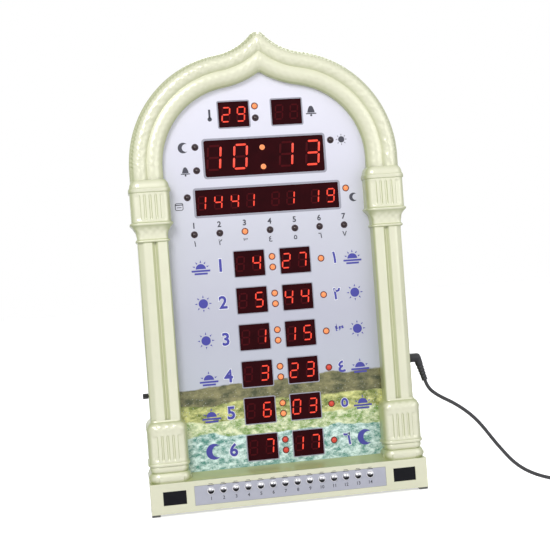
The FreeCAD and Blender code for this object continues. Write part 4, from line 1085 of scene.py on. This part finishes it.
@dataclass
class Lamps:
    """Round domed lamps with a flat rim, each group standing for its CAD node."""

    radius: float = 2.42
    tip: float = -3.0
    root: float = 7.0
    rim: float = 3.35
    parts: int = 28

    def profile(self) -> np.ndarray:
        """Half section from the tip back: r = R sqrt(1 - (1 - t)^2) over the dome."""
        share = np.linspace(0, 1, 9)
        dome = np.stack([self.tip + 2.2 * share, self.radius * np.sqrt(1 - (1 - share) ** 2)],
                        -1)
        dome[0, 1] = POINT
        return np.vstack([dome, [(self.root, self.radius), (self.root, POINT)]])

    def group(self, name: str, node: str, places: Sequence[tuple[float, float, int]]
              ) -> bpy.types.Object:
        """One group of lamps.

        Args:
            name: the piece's name.
            node: the CAD node that it replaces.
            places: X, Z and material index: 0 unlit, 1 amber, 2 red.

        Returns:
            The piece.
        """
        skin = Skin(name)
        profile = self.profile()
        heat = np.r_[np.linspace(1.0, 0.0, 9) ** 0.7, 0.0, 0.0]
        for x, z, slot in places:
            spots = turned(profile, (x, 0.0, z), "Y", self.parts)
            skin.grid(spots, slot, round_columns=True,
                      heat=np.repeat(heat[:, None], self.parts, 1))
            # The flat ring round each lamp: a painted halo glow when the lamp is lit, the dark hole
            # rim when it is not.
            edge = np.array([(DIAL_FACE - HAIR, self.rim), (DIAL_FACE - 0.12, self.radius)])
            rim = turned(edge, (x, 0.0, z), "Y", self.parts)
            skin.grid(rim, 4 if slot else 3, round_columns=True,
                      heat=np.repeat(np.array([[0.0], [1.0]]), self.parts, 1))
        return skin.piece("case", [LAMP_OFF, LAMP_AMBER, LAMP_RED, RIM_DARK, HALO], [node],
                          60.0)

    def build(self) -> list[bpy.types.Object]:
        """Day, status, colon and row lamps."""
        days = [(x, 261.0, 1 if day == 2 else 0) for day, x in enumerate(DAY_PLACES)]
        status = [(-66.6, 344.3, 0), (-66.6, 321.9, 0), (65.6, 344.3, 0), (-77.4, 296.7, 0),
                  (77.4, 296.7, 1), (-6.4, 381.0, 1), (-6.4, 369.6, 0)]
        colons = [(0.0, z + step, 1 if row < 5 else 2) for row, z in enumerate(ROW_LEVELS)
                  for step in (5.1, -5.1)]
        rows = [(47.9, z, 1 if row < 3 else 2) for row, z in enumerate(ROW_LEVELS)]
        return [self.group("day_lamps", "day_leds", days),
                self.group("status_lamps", "status_leds", status),
                self.group("colon_lamps", "colon_leds", colons),
                self.group("row_lamps", "row_leds", rows)]


# Printed signs


@dataclass
class Printing:
    """Flat printed signs a hair in front of the dial and of the button strip."""

    face: float = DIAL_FACE - 0.04
    strip_face: float = FRONT - 0.04
    type_height: float = 0.69

    def flat(self, skin: Skin, outline: np.ndarray, slot: int = 0, face: Optional[float] = None
             ) -> None:
        """Add a flat polygon from its outline in X and Z."""
        depth = self.face if face is None else face
        spots = np.stack([outline[:, 0], np.full(len(outline), depth), outline[:, 1]], -1)
        area = np.sum(outline[:, 0] * np.roll(outline[:, 1], -1)
                      - np.roll(outline[:, 0], -1) * outline[:, 1])
        order = list(range(len(outline)))
        skin.polygons(spots, [order if area > 0 else order[::-1]], slot)

    def disc(self, x: float, z: float, radius: float, parts: int = 28,
             first: float = 0.0, last: float = 2 * math.pi) -> np.ndarray:
        """Outline of a disc, or of the part of it between two angles."""
        turn = np.linspace(first, last, parts, endpoint=last - first < 6.2)
        return np.stack([x + radius * np.cos(turn), z + radius * np.sin(turn)], -1)

    def rays(self, skin: Skin, x: float, z: float, radius: float, count: int,
             first: float, last: float) -> None:
        """Tapered rays round a disc: thin triangles from 1.3 to 1.85 radii."""
        for turn in np.linspace(first, last, count):
            way = np.array([math.cos(turn), math.sin(turn)])
            side = np.array([-way[1], way[0]]) * radius * 0.17
            base = np.array([x, z]) + way * radius * 1.3
            tip = np.array([x, z]) + way * radius * 1.85
            self.flat(skin, np.array([base - side, tip, base + side]))

    def mark(self, skin: Skin, kind: Mark, x: float, z: float, size: float) -> None:
        """Print one plain sign.

        Args:
            skin: gathers the shapes.
            kind: which sign.
            x: its middle.
            z: its middle.
            size: half its width.
        """
        if kind is Mark.SUN:
            self.flat(skin, self.disc(x, z, size * 0.5))
            self.rays(skin, x, z, size * 0.5, 8, 0.0, 2 * math.pi * 7 / 8)
        elif kind in (Mark.RISING, Mark.LOW_SUN):
            level = z - size * 0.25
            self.flat(skin, self.disc(x, level, size * 0.55, 20, 0.0, math.pi))
            count = 5 if kind is Mark.RISING else 3
            self.rays(skin, x, level, size * 0.52, count, 0.35, math.pi - 0.35)
            for drop, wide in ((0.2, 1.0), (0.5, 0.7)):
                self.bar(skin, x, level - size * drop, size * wide, size * 0.10)
        elif kind is Mark.CRESCENT:
            outer = self.disc(x, z, size * 0.85, 24, 0.75, 2 * math.pi - 0.75)
            inner = self.disc(x + size * 0.42, z, size * 0.62, 24, 1.2, 2 * math.pi - 1.2)
            both = np.stack([inner, outer])
            skin.grid(np.stack([both[..., 0], np.full(both.shape[:2], self.face),
                                both[..., 1]], -1))
        elif kind is Mark.BELL:
            share = np.linspace(-1, 1, 17)
            dome = np.stack([x + size * 0.62 * share,
                             z + size * (0.75 - 1.1 * np.abs(share) ** 2.6)], -1)
            self.flat(skin, dome)
            self.bar(skin, x, z - size * 0.5, size * 0.85, size * 0.09)
            self.flat(skin, self.disc(x, z - size * 0.78, size * 0.18, 12))
        elif kind is Mark.PAGE:
            self.frame(skin, x, z, size * 0.8, size * 0.72, size * 0.14)
            self.bar(skin, x, z + size * 0.35, size * 0.75, size * 0.10)
            self.bar(skin, x, z - size * 0.15, size * 0.45, size * 0.07)
        else:
            self.bar(skin, x, z + size * 0.2, size * 0.16, size * 0.7)
            self.flat(skin, self.disc(x, z - size * 0.6, size * 0.34, 18))

    def bar(self, skin: Skin, x: float, z: float, half: float, thick: float, slot: int = 0,
            face: Optional[float] = None) -> None:
        """A rectangle from its middle, half width and half height."""
        self.flat(skin, np.array([(x - half, z - thick), (x + half, z - thick),
                                  (x + half, z + thick), (x - half, z + thick)]), slot, face)

    def frame(self, skin: Skin, x: float, z: float, half: float, rise: float, line: float,
              bend: float = 1.6, slot: int = 0, inner: Optional[float] = None) -> None:
        """A thin rounded rectangle ring, drawn as a strip of quads.

        Args:
            skin: gathers it.
            x: its middle.
            z: its middle.
            half: half its width outside.
            rise: half its height outside.
            line: the width of the line.
            bend: its corner radius outside.
            slot: material index.
            inner: its corner radius inside, or None for the outer one less the line.
        """
        turn = np.linspace(0, np.pi / 2, 6)
        rings = []
        inside = max(bend - line, 0.05) if inner is None else inner
        for shrink, radius in ((0.0, bend), (line, inside)):
            reach = shrink + radius
            spots = []
            for quarter, (sx, sz) in enumerate(((1, 1), (-1, 1), (-1, -1), (1, -1))):
                angle = turn + quarter * np.pi / 2
                spots.append(np.stack([x + sx * (half - reach) + radius * np.cos(angle),
                                       z + sz * (rise - reach) + radius * np.sin(angle)], -1))
            rings.append(np.vstack(spots))
        both = np.stack(rings, 0)
        spots = np.stack([both[..., 0], np.full(both.shape[:2], self.face), both[..., 1]], -1)
        skin.grid(spots[::-1], slot, round_columns=True)

    def figure(self, skin: Skin, text: str, x: float, z: float, size: float,
               face: Optional[float] = None, slot: int = 0, bold: float = 0.0) -> None:
        """Set a plain number in the built-in type, centred on a spot.

        Args:
            skin: gathers its faces.
            text: the number.
            x: its middle.
            z: its middle.
            size: height of its figures in millimetres.
            face: Y of the print.
            slot: material index.
            bold: how much the strokes are thickened, in type units.
        """
        curve = bpy.data.curves.new("figure", "FONT")
        curve.body = text
        curve.offset = bold
        curve.resolution_u = 3
        holder = placed("figure", curve)
        graph = bpy.context.evaluated_depsgraph_get()
        mesh = bpy.data.meshes.new_from_object(holder.evaluated_get(graph))
        spots = np.empty(len(mesh.vertices) * 3)
        mesh.vertices.foreach_get("co", spots)
        spots = spots.reshape(-1, 3)[:, :2]
        faces = [list(polygon.vertices) for polygon in mesh.polygons]
        bpy.data.objects.remove(holder)
        bpy.data.meshes.remove(mesh)
        bpy.data.curves.remove(curve)
        low, high = spots.min(0), spots.max(0)
        spots = (spots - (low + high) / 2) * size / self.type_height
        depth = self.face if face is None else face
        solid = np.stack([spots[:, 0] + x, np.full(len(spots), depth), spots[:, 1] + z], -1)
        skin.polygons(solid, faces, slot)

    def build(self) -> list[bpy.types.Object]:
        """Row numbers and signs, day numbers, status signs, window lines and strip ticks."""
        blue = Skin("row_signs")
        pale = Skin("row_sign_edges")
        eastern = "١٢٣٤٥٦٧"
        behind = self.face + 0.02
        marks = (Mark.RISING, Mark.SUN, Mark.SUN, Mark.LOW_SUN, Mark.LOW_SUN, Mark.CRESCENT)
        for number, (z, kind) in enumerate(zip(ROW_LEVELS, marks)):
            self.figure(blue, str(number + 1), -50.5, z, 11.5, bold=0.03)
            self.mark(blue, kind, -69.5, z, 9.0)
            self.figure(blue, eastern[number], 61.0, z, 10.5, bold=0.03)
            self.mark(blue, kind, 79.0, z, 9.0)
            self.figure(pale, str(number + 1), -50.5, z, 12.0, behind, bold=0.05)
            if number != 2:
                self.figure(pale, eastern[number], 61.0, z, 11.0, behind, bold=0.05)
        dark = Skin("lamp_signs")
        for day, x in enumerate(DAY_PLACES):
            self.figure(dark, str(day + 1), x, 269.6, 5.2, bold=0.03)
            self.figure(dark, eastern[day], x, 252.2, 5.2, bold=0.02)
        for kind, x, z, size in ((Mark.CRESCENT, -78.0, 344.3, 6.0), (Mark.BELL, -77.5, 321.9, 5.2),
                                 (Mark.SUN, 76.5, 344.3, 6.2), (Mark.PAGE, -85.8, 288.4, 5.0),
                                 (Mark.CRESCENT, 84.5, 287.5, 5.0),
                                 (Mark.BULB, -50.5, DATE_LEVEL, 6.2),
                                 (Mark.BELL, 48.5, DATE_LEVEL, 6.0)):
            self.mark(dark, kind, x, z, size)
        lines = Skin("window_lines")
        self.frame(lines, 0.0, 332.5, 60.2, 19.4, 1.8, 3.4, inner=2.4)
        self.frame(lines, 0.0, 290.8, 71.8, 14.4, 1.7, 2.8, inner=2.0)
        for x in DATE_BLOCKS:
            self.frame(lines, x, DATE_LEVEL, 15.9, 13.5, 1.1, 1.9, inner=1.3)
        for z in ROW_LEVELS:
            for x in ROW_BLOCKS:
                self.frame(lines, x, z, 15.6, 13.2, 0.9, 1.5, inner=0.9)
        ticks = Skin("strip_ticks")
        for number, x in enumerate(BUTTON_PLACES):
            self.figure(ticks, str(number + 1), x, 12.6, 3.0, self.strip_face, bold=0.02)
            self.bar(ticks, x, 25.2, 2.9, 0.30, 0, self.strip_face)
            self.bar(ticks, x, 26.5, 1.9, 0.22, 0, self.strip_face)
        return [blue.piece("case", [INK_BLUE], mended=False),
                pale.piece("case", [INK_PALE], mended=False),
                dark.piece("case", [INK_DARK], mended=False),
                lines.piece("case", [INK_GREY], mended=False),
                ticks.piece("case", [INK_DARK], mended=False)]


# Controls


@dataclass
class Buttons:
    """Fourteen domed metal buttons, each riding on its own sliding body."""

    radius: float = 2.78
    tip: float = FRONT - 2.2
    level: float = 19.9

    def build(self) -> list[bpy.types.Object]:
        """Turn each button's profile: dome, rim, shank, flange and stem."""
        share = np.linspace(0, 1, 7)
        dome = np.stack([self.tip + 0.55 * share ** 2, (self.radius - 0.35) * share], -1)
        dome[0, 1] = POINT
        profile = np.vstack([dome, [
            (self.tip + 0.75, self.radius - 0.12), (self.tip + 1.0, self.radius),
            (-18.8, self.radius), (-18.8, 3.5), (-17.8, 3.5), (-17.8, 1.2), (-15.8, 1.2),
            (-15.8, POINT)]])
        made = []
        ring = Skin("cap_rings")
        for number, x in enumerate(BUTTON_PLACES):
            skin = Skin(f"push_cap_{number + 1:02d}")
            skin.grid(turned(profile, (x, 0.0, self.level), "Y", 32), round_columns=True)
            node = f"button_{number + 1:02d}"
            made.append(skin.piece(node, [CHROME], [node]))
            ring.grid(turned(np.array([(FRONT - HAIR, 3.6), (FRONT - 0.2, 3.0)]),
                             (x, 0.0, self.level), "Y", 32), round_columns=True)
        made.append(ring.piece("case", [RIM_WHITE], mended=False))
        return made


@dataclass
class Knob:
    """The ribbed volume knob on the left side."""

    level: float = 110.5
    depth: float = 5.5
    ribs: int = 18

    def build(self) -> bpy.types.Object:
        """Turn the profile, and push the rim in and out by 0.16 cos(ribs a)."""
        along = np.array([-133.2, -133.15, -132.8, -132.3, -129.0, -128.2, -128.0, -128.0,
                          -119.0, -119.0])
        radius = np.array([POINT, 1.9, 2.3, 2.4, 2.42, 2.38, 2.2, 1.5, 1.5, POINT])
        columns = 144
        turn = np.linspace(0, 2 * np.pi, columns, endpoint=False)
        wave = 0.16 * np.cos(self.ribs * turn)[None] * ((radius > 2.25) * 1.0)[:, None]
        reach = radius[:, None] + wave
        spots = np.stack([along[:, None] * np.ones(columns), self.depth + reach * np.cos(turn),
                          self.level + reach * np.sin(turn)], -1)
        skin = Skin("volume_wheel")
        skin.grid(spots, round_columns=True)
        return skin.piece("volume_knob", [BLACK], ["volume_knob"])


# Supply


@dataclass
class Supply:
    """Angled plug, cord with its stored coil, and the mains adapter."""

    diameter: float = 3.5
    jack_level: float = 125.0
    depth: float = 5.0
    leg_tilt: float = 16.0
    leg_length: float = 24.0
    route: tuple[tuple[float, float, float], ...] = (
        (156.1, 2.3, 86.0), (173.0, -3.0, 76.5), (191.0, -8.5, 61.0), (209.0, -14.5, 33.0),
        (225.5, -23.0, 11.5), (247.0, -40.0, 1.85), (270.0, -58.0, 1.85),
        (292.0, -72.0, 1.85))
    adapter_end: tuple[float, float, float] = (338.0, -72.0, 5.85)

    def leg_end(self) -> tuple[np.ndarray, np.ndarray, np.ndarray]:
        """Lower end of the plug's leg, the way it points, and its upper end."""
        tilt = math.radians(self.leg_tilt)
        way = np.array([math.sin(tilt), 0.0, -math.cos(tilt)])
        top = np.array([138.5, self.depth, self.jack_level])
        return top + way * self.leg_length, way, top

    def coil_points(self) -> np.ndarray:
        """Control points of the coil: shrinking half turns below, growing ones above.

        Each half turn is a circle of its own radius r whose centre slides along Y so that it
        starts where the last one ended. A quadratic spline runs inside its control points by
        the factor (3 + cos t) / 4, t the step between them, so they stand at r over that.

        Returns:
            Points by three, in millimetres.
        """
        centre = np.array([318.0, -49.0, 1.85])
        radii = (23.0, 21.0, 19.0, 17.0, 19.0, 21.0, 23.0, 25.0)
        climbing, rise, count = 3, 4.0, 8
        step = np.pi / count
        inset = (3 + math.cos(step)) / 4
        share = (np.arange(count) + 0.5) / count
        stretches = []
        side, reached = -1.0, -radii[0]
        for number, radius in enumerate(radii):
            middle = reached - side * radius
            angle = -np.pi / 2 + np.pi * (number + share)
            climb = np.clip(number + share - climbing, 0, 1)
            stretches.append(np.stack([
                centre[0] + radius / inset * np.cos(angle),
                centre[1] + middle + radius / inset * np.sin(angle),
                centre[2] + rise * climb * climb * (3 - 2 * climb)], -1))
            side = -side
            reached = middle + side * radius
        return np.vstack(stretches)

    def cord(self) -> bpy.types.Object:
        """The cord: a NURBS spline from the plug over the route and round the coil."""
        end, way, _ = self.leg_end()
        coil = self.coil_points()
        tail = np.array([self.adapter_end])
        spots = np.vstack([end, end + way * 8.0, np.array(self.route), coil, tail]) * MM
        curve = bpy.data.curves.new("supply_cord", "CURVE")
        curve.dimensions = "3D"
        curve.bevel_depth = self.diameter / 2 * MM
        curve.bevel_resolution = 4
        curve.resolution_u = 12
        curve.use_fill_caps = True
        spline = curve.splines.new("NURBS")
        spline.points.add(len(spots) - 1)
        spline.points.foreach_set("co", np.hstack([spots, np.ones((len(spots), 1))]).ravel())
        spline.order_u = 3
        spline.use_endpoint_u = True
        made = placed("supply_cord", curve)
        curve.materials.append(CORD.material())
        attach(made, "case")
        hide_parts("power_cord", "cord_coil")
        return made

    def plug(self) -> bpy.types.Object:
        """Angled plug: turned head and a leg whose radius ripples in ribs and tapers."""
        end, way, top = self.leg_end()
        skin = Skin("angled_plug")
        head = np.array([(118.3, POINT), (118.3, 2.75), (127.7, 2.75), (127.7, 4.0),
                         (128.1, 4.4), (136.5, 4.4), (139.0, 4.3), (140.6, 3.7), (141.5, 2.5),
                         (141.8, POINT)])
        skin.grid(turned(head, (0.0, self.depth, self.jack_level), "X", 40),
                  round_columns=True)
        run = np.linspace(0, self.leg_length - 0.3, 70)
        share = run / self.leg_length
        radius = 3.9 - 1.0 * share
        ribs = np.clip((share - 0.30) / 0.06, 0, 1) * np.clip((0.93 - share) / 0.05, 0, 1)
        radius = radius - 0.45 * ribs * (0.5 - 0.5 * np.cos(2 * np.pi * (share - 0.3) * 7.5))
        radius = np.r_[POINT, radius, POINT]
        run = np.r_[0.0, run, self.leg_length - 0.3]
        turn = np.linspace(0, 2 * np.pi, 36, endpoint=False)
        side = np.array([0.0, 1.0, 0.0])
        above = np.cross(side, way)
        ring = np.cos(turn)[:, None] * side + np.sin(turn)[:, None] * above
        spots = top + run[:, None, None] * way + radius[:, None, None] * ring
        skin.grid(spots, round_columns=True)
        return skin.piece("case", [BLACK], ["dc_plug"], 40.0)

    def adapter(self) -> bpy.types.Object:
        """Mains adapter: the CAD node in moulded black, its long edges eased."""
        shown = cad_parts["power_adapter"]
        dressed(shown, BLACK)
        join = shown.modifiers.new("joined", "WELD")
        join.merge_threshold = MERGE_REACH
        eased(shown, 2.4, 4, 60.0)
        return shown

    def build(self) -> None:
        line = self.cord()
        plug = self.plug()
        adapter = self.adapter()
        log.info("supply: cord, plug and adapter")


# Plain CAD nodes


@dataclass
class Dressing:
    """Finishes of the CAD nodes that keep their own shape."""

    finishes: dict[str, Surface] = field(default_factory=lambda: {
        "back_cover": COVER, "label_strip": STRIP, "sensor_windows": WINDOW,
        "main_board": BOARD, "button_board": BOARD, "tact_switches": BLACK,
        "ribbon_cable": CABLE_GREY, "speaker_basket": STEEL, "speaker_cone": PULP,
        "speaker_magnet": FERRITE, "driver_chips": BLACK, "coin_cell_holder": BLACK,
        "coin_cell": STEEL, "infrared_receiver": BLACK, "volume_potentiometer": STEEL,
        "dc_jack": BLACK, "adapter_pins": BRASS, "foot_pads": RUBBER, "screws": STEEL,
        "dial_panel": DialPrint()})

    def build(self) -> None:
        """Give each node its finish; what is a display gets the dark red filter."""
        for name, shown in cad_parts.items():
            display = name.endswith("_display") or "_display_" in name
            finish = self.finishes.get(name, SCREEN if display else None)
            if finish is not None:
                dressed(shown, finish)
        log.info("dressed the plain nodes")


# Studio


@dataclass
class Studio:
    """Camera at the photograph's angle, pale floor, soft lamps and a white surround."""

    target: tuple[float, float, float] = (0.0016, -0.0014, 0.217)
    distance: float = 0.992
    yaw: float = -8.38
    rise: float = 0.44
    roll: float = -4.17
    angle: float = 30.0

    def camera(self) -> None:
        """Stand the camera back from its target and roll it."""
        yaw, rise, roll = (math.radians(v) for v in (self.yaw, self.rise, self.roll))
        back = Vector((math.sin(yaw) * math.cos(rise), -math.cos(yaw) * math.cos(rise),
                       math.sin(rise)))
        right = (-back).cross(Vector((0, 0, 1))).normalized()
        up = right.cross(-back)
        across = right * math.cos(roll) + up * math.sin(roll)
        above = up * math.cos(roll) - right * math.sin(roll)
        data = bpy.data.cameras.new("photo_view")
        data.sensor_fit = "AUTO"
        data.angle = math.radians(self.angle)
        data.clip_start = 0.01
        data.clip_end = 20.0
        made = placed("photo_view", data)
        place = Matrix((across, above, back)).transposed().to_4x4()
        place.translation = Vector(self.target) + back * self.distance
        made.matrix_world = place
        bpy.context.scene.camera = made

    def lamp(self, name: str, place: Sequence[float], size: float, power: float) -> None:
        """A square area lamp that looks at the target."""
        data = bpy.data.lights.new(name, "AREA")
        data.size = size
        data.energy = power
        made = placed(name, data)
        made.location = place
        way = Vector(self.target) - Vector(place)
        made.rotation_euler = way.to_track_quat("-Z", "Y").to_euler()

    def surround(self) -> None:
        """White to the camera and to reflections, a softer grey light to the object."""
        world = bpy.data.worlds.new("surround")
        bpy.context.scene.world = world
        world.use_nodes = True
        tree = world.node_tree
        path = add_node(tree, "LightPath")
        either = add_node(tree, "Math", {0: path.outputs["Is Camera Ray"],
                                         1: path.outputs["Is Glossy Ray"]},
                          operation="MAXIMUM")
        third = add_node(tree, "Math", {0: either.outputs["Value"],
                                        1: path.outputs["Is Transmission Ray"]},
                         operation="MAXIMUM")
        colour = mixed(tree, third.outputs["Value"], (0.42, 0.42, 0.43), (1, 1, 1))
        node_link(tree, colour, tree.nodes["Background"].inputs["Color"])

    def floor(self) -> None:
        """A wide pale floor that keeps the object's soft shadow."""
        mesh = bpy.data.meshes.new("studio_floor")
        mesh.from_pydata([(-6, -6, 0), (6, -6, 0), (6, 6, 0), (-6, 6, 0)], [], [(0, 1, 2, 3)])
        made = placed("studio_floor", mesh)
        made.location.z = -0.0004
        paint = bpy.data.materials.new("floor_paper")
        paint.use_nodes = True
        tree = paint.node_tree
        shader = tree.nodes["Principled BSDF"]
        shader.inputs["Base Color"].default_value = (0.86, 0.86, 0.87, 1)
        shader.inputs["Roughness"].default_value = 0.9
        path = add_node(tree, "LightPath")
        level = add_node(tree, "Math", {0: path.outputs["Is Camera Ray"], 1: 0.60},
                         operation="MULTIPLY")
        node_link(tree, level.outputs["Value"], shader.inputs["Emission Strength"])
        shader.inputs["Emission Color"].default_value = (1, 1, 1, 1)
        mesh.materials.append(paint)
        made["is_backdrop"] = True

    def build(self) -> None:
        """Set up view, lamps, surround and floor."""
        bpy.context.scene.view_settings.view_transform = "Standard"
        self.camera()
        self.lamp("key_lamp", (-0.7, -1.5, 1.2), 0.8, 19.0)
        self.lamp("fill_lamp", (1.2, -1.1, 0.6), 1.2, 6.0)
        self.lamp("back_lamp", (0.3, 1.2, 1.3), 1.0, 8.0)
        self.surround()
        self.floor()


def corners() -> list[list[float]]:
    """The shown object's box as plain lists."""
    return [[float(v) for v in corner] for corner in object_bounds()]


def main() -> None:
    """Build every sub-assembly in order."""
    logging.basicConfig(level=logging.INFO, format="%(name)s %(message)s")
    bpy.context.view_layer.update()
    Studio().build()
    Supply().build()
    Plinth().build()
    ArchBand().build()
    for side in (-1, 1):
        Column(side=side).build()
    Digits().build()
    Lamps().build()
    Printing().build()
    Buttons().build()
    Knob().build()
    Dressing().build()
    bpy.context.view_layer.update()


if __name__ == "__main__":
    main()
